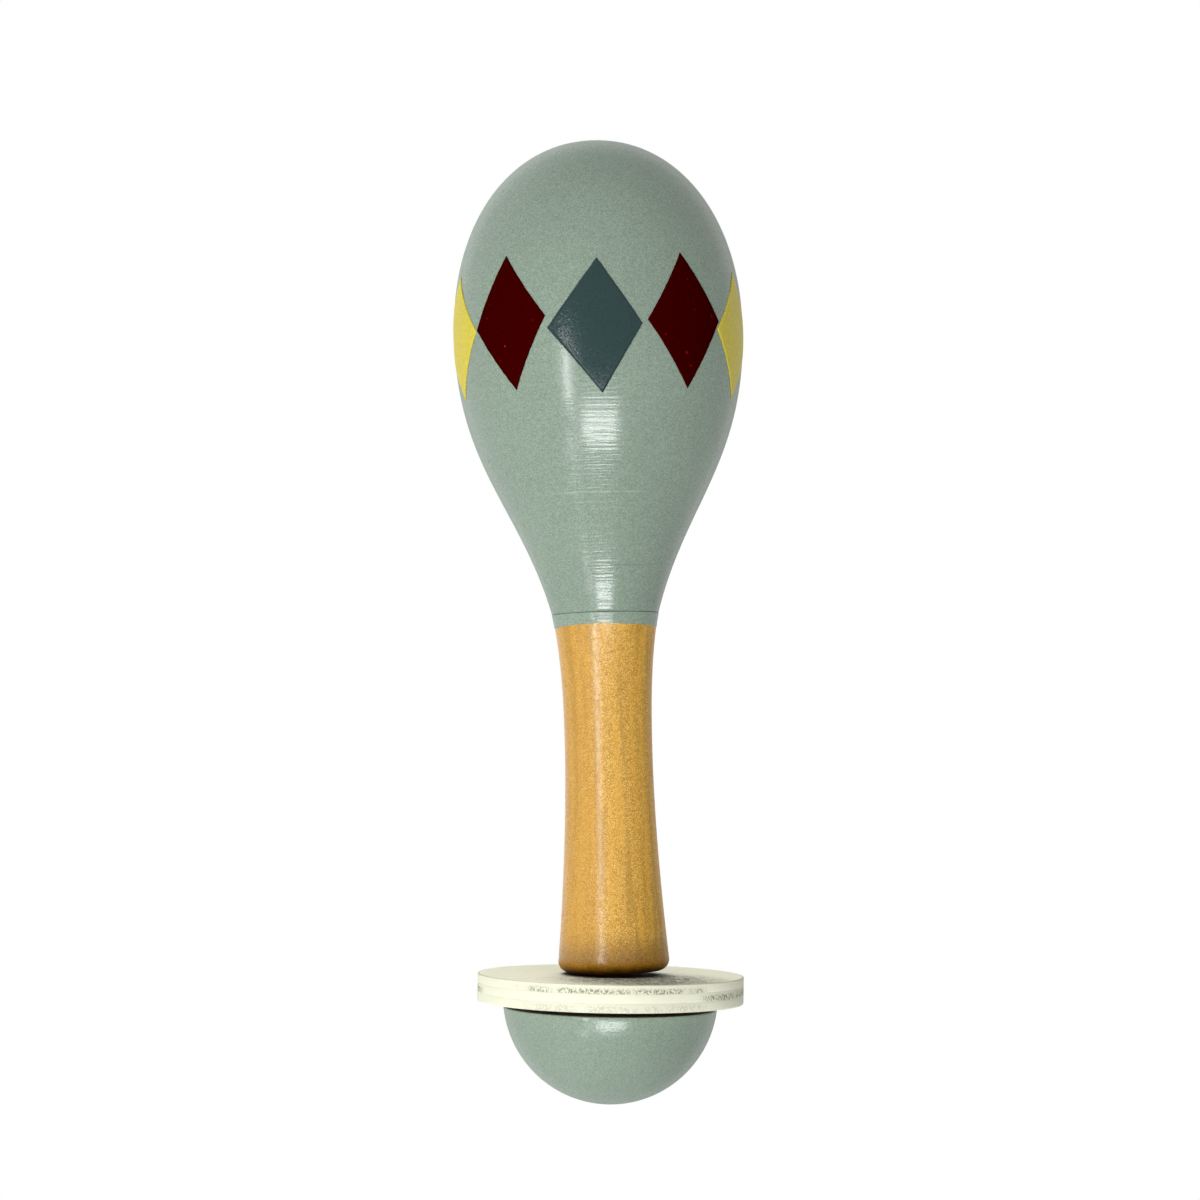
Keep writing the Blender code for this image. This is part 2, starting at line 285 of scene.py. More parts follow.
class NodeBoard:
    """A node tree, with short ways to add nodes and join them."""

    def __init__(self, tree: bpy.types.NodeTree) -> None:
        """Start on a node tree."""
        self.tree = tree

    def feed(self, socket: Socket, value: Any) -> None:
        """Link a socket to another, or set its own value.

        Args:
            socket: Input to feed.
            value: Another node's output, a number, a vector or a colour.
        """
        if isinstance(value, Socket):
            self.tree.links.new(value, socket)
        elif socket.type == "RGBA" and len(value) == 3:
            socket.default_value = (*value, 1.0)
        else:
            socket.default_value = value

    def add(self, kind: str, inputs: dict[Any, Any] | None = None, **settings: Any) -> bpy.types.Node:
        """Add a node.

        Args:
            kind: Blender's name for the node, without its first part.
            inputs: What goes into its sockets, by name or number.
            settings: Values to set on the node itself.

        Returns:
            The new node.
        """
        node = self.tree.nodes.new(f"ShaderNode{kind}")
        for name, value in settings.items():
            setattr(node, name, value)
        for key, value in (inputs or {}).items():
            self.feed(node.inputs[key], value)
        return node

    def sum(self, operation: str, *values: Any) -> Socket:
        """Do one step of arithmetic on sockets or numbers."""
        return self.add("Math", dict(enumerate(values)), operation=operation).outputs[0]

    def times(self, product: Any, *others: Any) -> Socket:
        """Multiply sockets or numbers.

        Args:
            product: First factor.
            others: The other factors.

        Returns:
            Their product.
        """
        for other in others:
            product = self.sum("MULTIPLY", product, other)
        return product

    def apart(self, first: Any, second: Any) -> Socket:
        """Give how far apart two values lie."""
        return self.sum("ABSOLUTE", self.sum("SUBTRACT", first, second))

    def from_axis(self, x: Any, y: Any) -> Socket:
        """Give the distance from the Z axis."""
        return self.sum("SQRT", self.sum("MULTIPLY_ADD", x, x, self.times(y, y)))

    def coordinates(self) -> Socket:
        """Give each point's place on its object."""
        return self.add("TexCoord").outputs["Object"]

    def noise(self, place: Any, scale: Any, detail: float = 2.0, rough: float = 0.5) -> Socket:
        """Give soft random values from 0 to 1."""
        inputs = {"Vector": place, "Scale": scale, "Detail": detail, "Roughness": rough}
        return self.add("TexNoise", inputs).outputs[0]

    def grain(self, place: Any, fineness: Any) -> Socket:
        """Give each small, uneven cell of space a random value from 0 to 1."""
        cells = self.add("TexVoronoi", {"Vector": place, "Scale": fineness}, feature="F1")
        return self.split(cells.outputs["Color"])[0]

    def ramp(self, value: Any, low: Any, high: Any, out: Range = (0.0, 1.0)) -> Socket:
        """Rise smoothly from one output value to another as a value goes from low to high."""
        inputs = {"Value": value, "From Min": low, "From Max": high, "To Min": out[0], "To Max": out[1]}
        return self.add("MapRange", inputs, interpolation_type="SMOOTHSTEP").outputs[0]

    def band(self, value: Any, rise: Range, fall: Range) -> Socket:
        """Give 1 where a value lies between a rise and a fall, and 0 outside them."""
        return self.times(self.ramp(value, *rise), self.ramp(value, fall[1], fall[0]))

    def split(self, vector: Any) -> list[Socket]:
        """Give the three parts of a vector."""
        return list(self.add("SeparateXYZ", {"Vector": vector}).outputs)

    def join(self, x: Any, y: Any, z: Any) -> Socket:
        """Make a vector of three parts."""
        return self.add("CombineXYZ", {0: x, 1: y, 2: z}).outputs[0]

    def stretch(self, vector: Any, scale: Colour) -> Socket:
        """Scale the parts of a vector."""
        return self.add("VectorMath", {0: vector, 1: scale}, operation="MULTIPLY").outputs[0]

    def tint(self, share: Any, first: Any, second: Any) -> Socket:
        """Mix two colours by a share of the second."""
        return self.add("Mix", {0: share, 6: first, 7: second}, data_type="RGBA").outputs[2]

    def mottled(self, share: Any, colour: Colour, depth: float) -> Socket:
        """Vary a colour from darker to lighter with a share, by the same depth both ways."""
        return self.tint(share, toned(colour, 1.0 - depth), toned(colour, 1.0 + depth))

    def layer(self, colour: Any, over: Any, value: Any, none: Any, full: Any, most: float = 1.0) -> Socket:
        """Lay one colour over another, from nothing where a value is at none to the most at full."""
        return self.tint(self.ramp(value, none, full, (0.0, most)), colour, over)

    def bump(self, height: Any, depth: float) -> Socket:
        """Turn heights of 0 to 1 into normals of a relief that many metres deep."""
        return self.add("Bump", {"Height": height, "Distance": depth, "Strength": 1.0}).outputs[0]


class Effects:
    """Surface effects that several finishes share, each a node group made once."""

    def __init__(self) -> None:
        """Make the groups."""
        self.streaks = self._streaks()
        self.fibres = self._fibres()
        self.speckle = self._speckle()

    @staticmethod
    def _start(name: str, inputs: dict[str, str], outputs: list[str]) -> tuple[NodeBoard, Any, Any]:
        """Start a group.

        Args:
            name: Name of the group.
            inputs: Kind of each named input.
            outputs: Names of the outputs, all plain values.

        Returns:
            The group's board, the sockets that it is given and those that it has to feed.
        """
        group = bpy.data.node_groups.new(name, "ShaderNodeTree")
        for socket, kind in inputs.items():
            group.interface.new_socket(name=socket, in_out="INPUT", socket_type=f"NodeSocket{kind}")
        for socket in outputs:
            group.interface.new_socket(name=socket, in_out="OUTPUT", socket_type="NodeSocketFloat")
        given, result = (group.nodes.new(f"NodeGroup{side}") for side in ("Input", "Output"))
        return NodeBoard(group), given.outputs, result.inputs

    def _streaks(self) -> bpy.types.NodeTree:
        """Make the fine lines that a turning tool leaves round a piece, broken along their length.

        Returns:
            The group.
        """
        inputs = {"Place": "Vector", "Along": "Float", "Pitch": "Float", "Reach": "Float"}
        board, given, result = self._start("turning_streaks", inputs, ["Height"])
        x, y, _ = board.split(given["Place"])
        across, deep = (board.times(part, given["Reach"]) for part in (x, y))
        along = board.times(given["Along"], given["Pitch"])
        board.feed(result["Height"], board.noise(board.join(across, deep, along), 1.0, 1.0, 0.4))
        return board.tree

    def _fibres(self) -> bpy.types.NodeTree:
        """Make wood along Z: broad growth bands, short flecks and the height of its pores.

        Returns:
            The group.
        """
        inputs = {"Place": "Vector", "Fineness": "Float"}
        board, given, result = self._start("wood_fibres", inputs, ["Bands", "Flecks", "Height"])
        place = given["Place"]
        broad, short, long = (board.stretch(place, (1.0, 1.0, share)) for share in (0.05, 0.9, 0.06))
        coarse, fine, middling = (board.times(given["Fineness"], share) for share in (0.5, 8.0, 2.4))
        board.feed(result["Bands"], board.ramp(board.noise(broad, coarse), 0.3, 0.7))
        board.feed(result["Flecks"], board.grain(short, fine))
        board.feed(result["Height"], board.noise(long, middling, 2.0, 0.6))
        return board.tree

    def _speckle(self) -> bpy.types.NodeTree:
        """Make scattered spots where a noise rises above a level.

        Returns:
            The group.
        """
        inputs = {"Place": "Vector", "Fineness": "Float", "Level": "Float"}
        board, given, result = self._start("speckle", inputs, ["Mask"])
        value = board.noise(given["Place"], given["Fineness"], 1.0)
        top = board.sum("ADD", given["Level"], 0.05)
        board.feed(result["Mask"], board.ramp(value, given["Level"], top))
        return board.tree


class Finish(NodeBoard):
    """A material on its way: a board that ends in one plain shader."""

    def __init__(self, name: str) -> None:
        """Start a material.

        Args:
            name: Name of the material.
        """
        self.material = bpy.data.materials.new(name)
        self.material.use_nodes = True
        super().__init__(self.material.node_tree)
        self.shader = self.tree.nodes["Principled BSDF"]
        self.place = self.coordinates()

    def effect(self, group: bpy.types.NodeTree, **inputs: Any) -> bpy.types.NodeOutputs:
        """Place a shared effect in the material, feed its named sockets and give its outputs."""
        return self.add("Group", inputs, node_tree=group).outputs

    def dulled(self, rough: Any, more: float) -> Socket:
        """Roughen the gloss by so much more where the surface is seen edge-on, as thin paint does."""
        facing = self.add("LayerWeight", {"Blend": 0.5}).outputs["Facing"]
        return self.sum("MULTIPLY_ADD", self.ramp(facing, 0.55, 0.95), more, rough)

    def varnish(self, weight: Any, rough: float) -> None:
        """Lay a clear coat over the finish, more of it in some places than in others."""
        self.feed(self.shader.inputs["Coat Weight"], weight)
        self.feed(self.shader.inputs["Coat Roughness"], rough)

    def wear(self, colour: Any, rough: Any, gloss: float, normal: Any = None) -> Material:
        """Join the finished colour, roughness and relief to the shader.

        Args:
            colour: Base colour.
            rough: Roughness.
            gloss: Strength of the mirror-like part.
            normal: Normals with the relief in them, if there is any.

        Returns:
            The material.
        """
        sockets = self.shader.inputs
        self.feed(sockets["Base Color"], colour)
        self.feed(sockets["Roughness"], rough)
        self.feed(sockets["Specular IOR Level"], gloss)
        if normal is not None:
            self.feed(sockets["Normal"], normal)
        return self.material


@dataclass(frozen=True)
class PaintLine:
    """A faint broken line round painted wood, which shows most in one place and fades to its sides. A
    lighter line is a painted highlight where a ridge catches the light; a darker one is a mark in the paint.

    Attributes:
        height: Height of the line.
        tone: Its brightness as a share of the paint's.
        strength: Most that it shows.
        middle: Place along X where it shows most.
        reach: Distance along X at which it has faded.
        half_width: Half its width.
    """

    height: float
    tone: float
    strength: float
    middle: float
    reach: float
    half_width: float = 0.0003

    def show(self, board: NodeBoard, place: Any) -> Socket:
        """Find where the line shows.

        Args:
            board: Board of the paint.
            place: Place on the painted piece.

        Returns:
            A share from 0 to 1.
        """
        x, _, z = board.split(place)
        broken = board.ramp(board.noise(place, 300.0), 0.34, 0.6, (0.25 * self.strength, self.strength))
        near = board.ramp(board.apart(x, self.middle), self.reach, 0.4 * self.reach)
        return board.times(near, broken, board.ramp(board.apart(z, self.height), self.half_width, 0.0))


@dataclass(frozen=True)
class SagePaint:
    """Grey-green paint over turned wood: satin, with fine lines round it and a faint grain."""

    name: str
    colour: Colour = (0.229, 0.297, 0.237)
    streak_pitch: float = 1900.0
    streak_reach: float = 120.0
    streak_depth: float = 0.00006
    peel_depth: float = 0.000006
    peel_fineness: float = 1500.0
    rough: Range = (0.17, 0.21)
    edge_dulling: float = 0.24
    gloss: float = 0.25
    unevenness: float = 0.38
    grain_fineness: float = 6500.0
    grain_share: float = 0.8
    cloud_fineness: float = 40.0
    speck_fineness: float = 380.0
    speck_level: float = 0.77
    speck_share: float = 0.45
    speck_tone: float = 0.45
    lines: tuple[PaintLine, ...] = ()

    def mix(self, effects: Effects) -> Material:
        """Make the paint.

        Args:
            effects: Shared effects.

        Returns:
            The material.
        """
        paint = Finish(self.name)
        place = paint.place
        along = paint.add("Attribute", attribute_name=ALONG).outputs["Fac"]
        streaks = paint.effect(effects.streaks, Place=place, Along=along, Pitch=self.streak_pitch,
                               Reach=self.streak_reach)["Height"]
        peel = paint.noise(place, self.peel_fineness, 1.0)
        height = paint.sum("MULTIPLY_ADD", peel, self.peel_depth / self.streak_depth, streaks)
        grain = paint.grain(place, self.grain_fineness)
        clouds = paint.times(paint.noise(place, self.cloud_fineness, 1.0), 1.0 - self.grain_share)
        tone = paint.sum("MULTIPLY_ADD", grain, self.grain_share, clouds)
        colour = paint.mottled(tone, self.colour, self.unevenness)
        specks = paint.effect(effects.speckle, Place=place, Fineness=self.speck_fineness,
                              Level=self.speck_level)["Mask"]
        speck = toned(self.colour, self.speck_tone)
        colour = paint.tint(paint.times(specks, self.speck_share), colour, speck)
        for line in self.lines:
            colour = paint.tint(line.show(paint, place), colour, toned(self.colour, line.tone))
        rough = paint.dulled(paint.ramp(grain, 0.0, 1.0, self.rough), self.edge_dulling)
        return paint.wear(colour, rough, self.gloss, paint.bump(height, self.streak_depth))


@dataclass(frozen=True)
class VarnishedWood:
    """Honey-coloured varnish over a close, flecked wood, soiled towards the handle's end, with painted shade
    on the rounding and darkest at the very end, and its left side painted darker.

    Attributes:
        name: Name of the material.
        end: Height of the handle's end.
        soil_fade: Heights above the end where the soiling starts and where it is full.
        amber_fade: The same for the darker rounding, partly pooled varnish and partly painted shade where it
            faces down to the disc.
        bottom_shade_fade: The same for the painted shade below it, darkest at the very end.
    """

    name: str
    end: float
    soil_fade: Range = (0.0104, 0.0039)
    amber_fade: Range = (0.0046, 0.0020)
    bottom_shade_fade: Range = (0.0031, 0.0010)
    honey: Colour = linear(199, 151, 57)
    fleck: Colour = linear(162, 106, 22)
    pale: Colour = linear(236, 194, 98)
    # Darker, warmer honey for the handle's left side: painted shade.
    left_shade: Colour = linear(180, 126, 30)
    soil: Colour = linear(148, 106, 42)
    # Rounding: darker from pooled varnish, and from painted shade where it faces down to the disc.
    amber: Colour = linear(164, 112, 18)
    # Near-black at the very end: painted shade where the handle meets the disc.
    bottom_shade: Colour = linear(62, 33, 0)
    fineness: float = 900.0
    stain_and_shade_unevenness: float = 0.35
    ragged_fineness: float = 260.0
    ragged_reach: float = 0.0014
    shine_fineness: float = 1900.0
    pore_depth: float = 0.00001
    coat_rough: float = 0.29
    gloss: float = 0.08

    def mix(self, effects: Effects) -> Material:
        """Make the varnished wood.

        Args:
            effects: Shared effects.

        Returns:
            The material.
        """
        wood = Finish(self.name)
        fibres = wood.effect(effects.fibres, Place=wood.place, Fineness=self.fineness)
        flecks, bands = fibres["Flecks"], fibres["Bands"]
        across, _, height = wood.split(wood.place)
        colour = wood.layer(self.honey, self.fleck, flecks, 0.5, 0.2, 0.8)
        colour = wood.layer(colour, self.pale, flecks, 0.5, 0.8, 0.85)
        colour = wood.layer(colour, toned(self.honey, 0.7), bands, 0.5, 0.0, 0.5)
        colour = wood.layer(colour, toned(self.honey, 1.25), bands, 0.5, 1.0, 0.45)
        # The left side, towards -X, is painted darker: painted shade where the lamps light it strongly.
        colour = wood.layer(colour, self.left_shade, across, 0.0, -0.005, 0.35)
        uneven = wood.noise(wood.place, self.ragged_fineness, 3.0)
        ragged = wood.sum("MULTIPLY_ADD", uneven, self.ragged_reach, height)
        # Dirt towards the end, then painted shade with some pooled varnish on the rounding, darkest at the
        # very end.
        fades = ((self.soil_fade, 0.64), (self.amber_fade, 1.0), (self.bottom_shade_fade, 0.95))
        soiled, rounded, lowest = (
            wood.ramp(ragged, self.end + none, self.end + full, (0.0, most)) for (none, full), most in fades)
        stains_and_shade = ((soiled, self.soil), (wood.times(rounded, 0.85), self.amber), (lowest, self.bottom_shade))
        for share, stain_and_shade in stains_and_shade:
            colour = wood.tint(share, colour, wood.mottled(flecks, stain_and_shade, self.stain_and_shade_unevenness))
        shine = wood.ramp(wood.grain(wood.place, self.shine_fineness), 0.0, 0.7, (0.4, 1.0))
        lit = wood.ramp(across, 0.008, 0.001, (0.3, 1.0))
        wood.varnish(wood.times(shine, lit, wood.ramp(rounded, 1.0, 0.0)), self.coat_rough)
        rough = wood.ramp(flecks, 0.0, 1.0, (0.5, 0.4))
        return wood.wear(colour, rough, self.gloss, wood.bump(fibres["Height"], self.pore_depth))


@dataclass(frozen=True)
class Plywood:
    """Raw three-ply board: pale long grain, and greyer torn end grain that turns from ply to ply. Its faces
    and the right-hand side of its rim are painted lighter as painted light, and painted shadow darkens the
    top face in front of and under the handle's foot.
    """

    name: str
    middle: Vector
    tilt: float
    radius: float
    thickness: float
    cream: Colour = (0.83, 0.84, 0.66)
    # Lighter cream for the faces and the rim's right-hand side: painted light.
    painted_light_cream: Colour = (0.95, 0.96, 0.78)
    grey: Colour = (0.64, 0.63, 0.49)
    torn: Colour = (0.10, 0.095, 0.075)
    glue: Colour = (0.52, 0.49, 0.35)
    # Dark grey of the dirt in the grain and of the handle's painted shadow on the top face.
    dirt_and_shadow: Colour = (0.13, 0.13, 0.10)
    dirt_and_shadow_place: Point = (0.006, -0.014)
    dirt_and_shadow_reach: float = 0.025
    dirt_and_shadow_fineness: float = 4200.0
    # Dark brown of the painted contact shadow under the handle's foot.
    stain_and_shade: Colour = (0.045, 0.030, 0.016)
    stain_and_shade_unevenness: float = 0.4
    foot_radius: float = 0.0114
    foot_shade: float = 0.0009
    foot_fineness: float = 420.0
    foot_reach: float = 0.0012
    fineness: float = 1100.0
    glue_drop: float = 0.0003
    nick_fineness: float = 4600.0
    clump_fineness: float = 240.0
    relief: float = 0.00004
    rough: float = 0.72
    gloss: float = 0.1

    @property
    def ply(self) -> float:
        """Thickness of one ply."""
        return self.thickness / 3

    def mix(self, effects: Effects) -> Material:
        """Make the board.

        Args:
            effects: Shared effects.

        Returns:
            The material.
        """
        wood = Finish(self.name)
        inputs = {"Vector": wood.place, "Location": self.middle, "Rotation": (0.0, self.tilt, 0.0)}
        local = wood.add("Mapping", inputs, vector_type="TEXTURE").outputs[0]
        x, y, z = wood.split(local)
        ply = self.ply
        wavy = wood.sum("MULTIPLY_ADD", wood.noise(local, 130.0, 1.0), 0.0003, 0.00015)
        depth = wood.sum("SUBTRACT", wavy, z)
        core = wood.band(depth, (ply + 0.0002, ply + 0.0004), (2 * ply + 0.0002, 2 * ply + 0.0004))
        out = wood.from_axis(x, y)
        rim = wood.ramp(out, self.radius - 0.0006, self.radius - 0.00025)
        level = wood.sum("MAXIMUM", out, MM)
        facing = wood.sum("DIVIDE", wood.sum("ABSOLUTE", y), level)
        sideways = wood.sum("DIVIDE", x, level)
        outer_end = wood.ramp(facing, 0.68, 0.80)
        core_end = wood.sum("MAXIMUM", wood.ramp(sideways, 0.62, 0.76), wood.ramp(sideways, -0.93, -0.98))
        turned = wood.add("Mix", {0: core, 2: outer_end, 3: core_end}, data_type="FLOAT").outputs[0]
        end = wood.times(turned, rim)
        along_y, along_x = wood.join(x, z, y), wood.join(y, z, x)
        run = wood.add("Mix", {0: core, 4: along_y, 5: along_x}, data_type="VECTOR").outputs[1]
        fibres = wood.effect(effects.fibres, Place=run, Fineness=self.fineness)
        # The top and bottom faces and the rim's right-hand side take the lighter cream: painted light.
        painted_light = wood.sum("MAXIMUM", wood.ramp(sideways, 0.3, 0.8), wood.ramp(rim, 1.0, 0.0))
        colour = wood.tint(painted_light, self.cream, self.painted_light_cream)
        colour = wood.layer(colour, self.grey, fibres["Flecks"], 0.5, 0.1, 0.3)
        # Dirt in the grain and the handle's painted shadow darken the top face before the handle's foot.
        colour = wood.tint(self._dirt_and_shadow(wood, local, rim), colour, self.dirt_and_shadow)
        # Painted contact shadow: a dark brown ring with a ragged edge on the top face under the handle's
        # foot.
        uneven = wood.noise(local, self.foot_fineness)
        ragged = wood.sum("MULTIPLY_ADD", uneven, self.foot_reach, out)
        foot_shadow = wood.mottled(fibres["Flecks"], self.stain_and_shade, self.stain_and_shade_unevenness)
        outside, inside = self.foot_radius + self.foot_shade, self.foot_radius - self.foot_shade
        colour = wood.layer(colour, foot_shadow, ragged, outside, inside)
        worn = wood.times(end, self._frayed(wood, depth))
        torn = self._tears(wood, local, worn)
        outward = wood.sum("DIVIDE", wood.sum("ABSOLUTE", x), self.radius)
        edge = wood.times(wood.ramp(depth, 0.0006, 0.0003), wood.ramp(outward, 0.5, 0.8, (0.0, 0.6)))
        upper, lower = (wood.apart(depth, count * ply + self.glue_drop) for count in (1, 2))
        line = wood.ramp(wood.sum("MINIMUM", upper, lower), 0.00012, 0.00003, (0.0, 0.25))
        layers = ((end, 0.15, self.grey), (worn, 0.17, self.glue), (torn, 0.66, self.torn),
                  (edge, rim, self.glue), (line, rim, self.glue))
        for mask, share, over in layers:
            colour = wood.tint(wood.times(mask, share), colour, over)
        height = wood.sum("SUBTRACT", fibres["Height"], torn)
        return wood.wear(colour, self.rough, self.gloss, wood.bump(height, self.relief))

    def _dirt_and_shadow(self, board: NodeBoard, local: Any, rim: Any) -> Socket:
        """Find where the top face is darkened, by dirt in its grain and by the handle's painted shadow, most
        of it before the handle's foot.

        Args:
            board: Board of the finish.
            local: Place on the board.
            rim: Where the edge shows instead of the face.

        Returns:
            A share from 0 to 1.
        """
        spot = (*self.dirt_and_shadow_place, 0.0)
        away = board.add("VectorMath", {0: local, 1: spot}, operation="DISTANCE").outputs["Value"]
        near = board.ramp(away, self.dirt_and_shadow_reach, 0.35 * self.dirt_and_shadow_reach, (0.05, 1.0))
        pores = board.grain(board.stretch(local, (0.25, 1.0, 1.0)), self.dirt_and_shadow_fineness)
        dots = board.ramp(pores, 0.2, 0.7, (0.15, 1.0))
        upper = board.ramp(board.split(local)[2], -0.0010, -0.0004)
        return board.times(near, dots, upper, board.ramp(rim, 1.0, 0.0))

    def _frayed(self, board: NodeBoard, depth: Any) -> Socket:
        """Give how much the board's edge has frayed at each depth: most low in the top and middle plies.

        Args:
            board: Board of the finish.
            depth: Depth below the top face.

        Returns:
            A share from 0 to 1.
        """
        ply = self.ply
        first = board.band(depth, (0.35 * ply, 0.8 * ply), (ply + 0.0001, ply + 0.0004))
        second = board.band(depth, (1.25 * ply, 1.6 * ply), (1.95 * ply, 2 * ply + 0.0004))
        third = board.ramp(depth, 2.2 * ply, 2.6 * ply, (0.0, 0.35))
        return board.sum("MAXIMUM", board.sum("MAXIMUM", first, second), third)

    def _tears(self, board: NodeBoard, local: Any, worn: Any) -> Socket:
        """Find where end grain has torn out in dark nicks.

        Args:
            board: Board of the finish.
            local: Place on the board.
            worn: Where frayed end grain shows.

        Returns:
            A mask of the nicks.
        """
        cells = board.grain(board.stretch(local, (1.0, 1.0, 0.6)), self.nick_fineness)
        clumps = board.ramp(board.noise(local, self.clump_fineness, 1.0), 0.22, 0.54)
        return board.times(worn, board.ramp(cells, 0.42, 0.62), clumps)


@dataclass(frozen=True)
class PlainWood:
    """Unpainted wood of the dowel, the beads and the inside of the head, and the dark painted shade on the
    dome's recessed top.
    """

    name: str
    light: Colour
    dark: Colour
    fineness: float = 900.0
    rough: float = 0.6
    gloss: float = 0.3
    rough_swing: float = 0.08
    pore_depth: float = 0.00003

    def mix(self, effects: Effects) -> Material:
        """Make the wood.

        Args:
            effects: Shared effects.

        Returns:
            The material.
        """
        wood = Finish(self.name)
        fibres = wood.effect(effects.fibres, Place=wood.place, Fineness=self.fineness)
        colour = wood.tint(fibres["Bands"], self.light, toned(self.light, 0.86))
        colour = wood.layer(colour, self.dark, fibres["Flecks"], 0.5, 0.0, 0.6)
        swing = (self.rough + self.rough_swing, self.rough - self.rough_swing)
        rough = wood.ramp(fibres["Flecks"], 0.0, 1.0, swing)
        return wood.wear(colour, rough, self.gloss, wood.bump(fibres["Height"], self.pore_depth))


@dataclass(frozen=True)
class Film:
    """Thin coloured film that the diamonds are cut from, with a fine grain and a few bright specks."""

    name: str
    colour: Colour
    speck: Colour
    speck_share: float
    gloss: float
    rough: float = 0.34
    wrinkle_depth: float = 0.00002
    wrinkle_fineness: float = 1400.0
    rough_swing: float = 0.06
    edge_dulling: float = 0.12
    unevenness: float = 0.12
    grain_fineness: float = 2400.0
    speck_fineness: float = 900.0
    speck_level: float = 0.70
    patch_fineness: float = 130.0

    def mix(self, effects: Effects) -> Material:
        """Make the film.

        Args:
            effects: Shared effects.

        Returns:
            The material.
        """
        film = Finish(self.name)
        grain = film.noise(film.place, self.grain_fineness)
        colour = film.mottled(film.ramp(grain, 0.3, 0.7), self.colour, self.unevenness)
        dots = film.effect(effects.speckle, Place=film.place, Fineness=self.speck_fineness,
                           Level=self.speck_level)["Mask"]
        patches = film.ramp(film.noise(film.place, self.patch_fineness, 1.0), 0.5, 0.66)
        colour = film.tint(film.times(dots, patches, self.speck_share), colour, self.speck)
        wrinkle = film.noise(film.place, self.wrinkle_fineness, 2.0, 0.6)
        swing = (self.rough - self.rough_swing, self.rough + self.rough_swing)
        rough = film.dulled(film.ramp(grain, 0.2, 0.8, swing), self.edge_dulling)
        return film.wear(colour, rough, self.gloss, film.bump(wrinkle, self.wrinkle_depth))


@dataclass
class Landmarks:
    """Heights and radii that the frame gives."""

    seam: float = 0.0003
    handle_end: float = field(init=False)
    shoulder: float = field(init=False)
    shell_joint: float = field(init=False)
    cavity_floor: float = field(init=False)
    head_top: float = field(init=False)
    head_radius: float = field(init=False)
    tenon_top: float = field(init=False)

    def __post_init__(self) -> None:
        """Read the frame."""
        handle, neck, crown = (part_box(node) for node in ("handle", "head_neck", "head_crown"))
        self.handle_end, self.tenon_top = handle[0].z, handle[1].z
        self.shoulder, self.cavity_floor = neck[0].z - self.seam, neck[1].z
        self.shell_joint, self.head_top = crown[0].z - self.seam, crown[1].z
        self.head_radius = crown[1].x


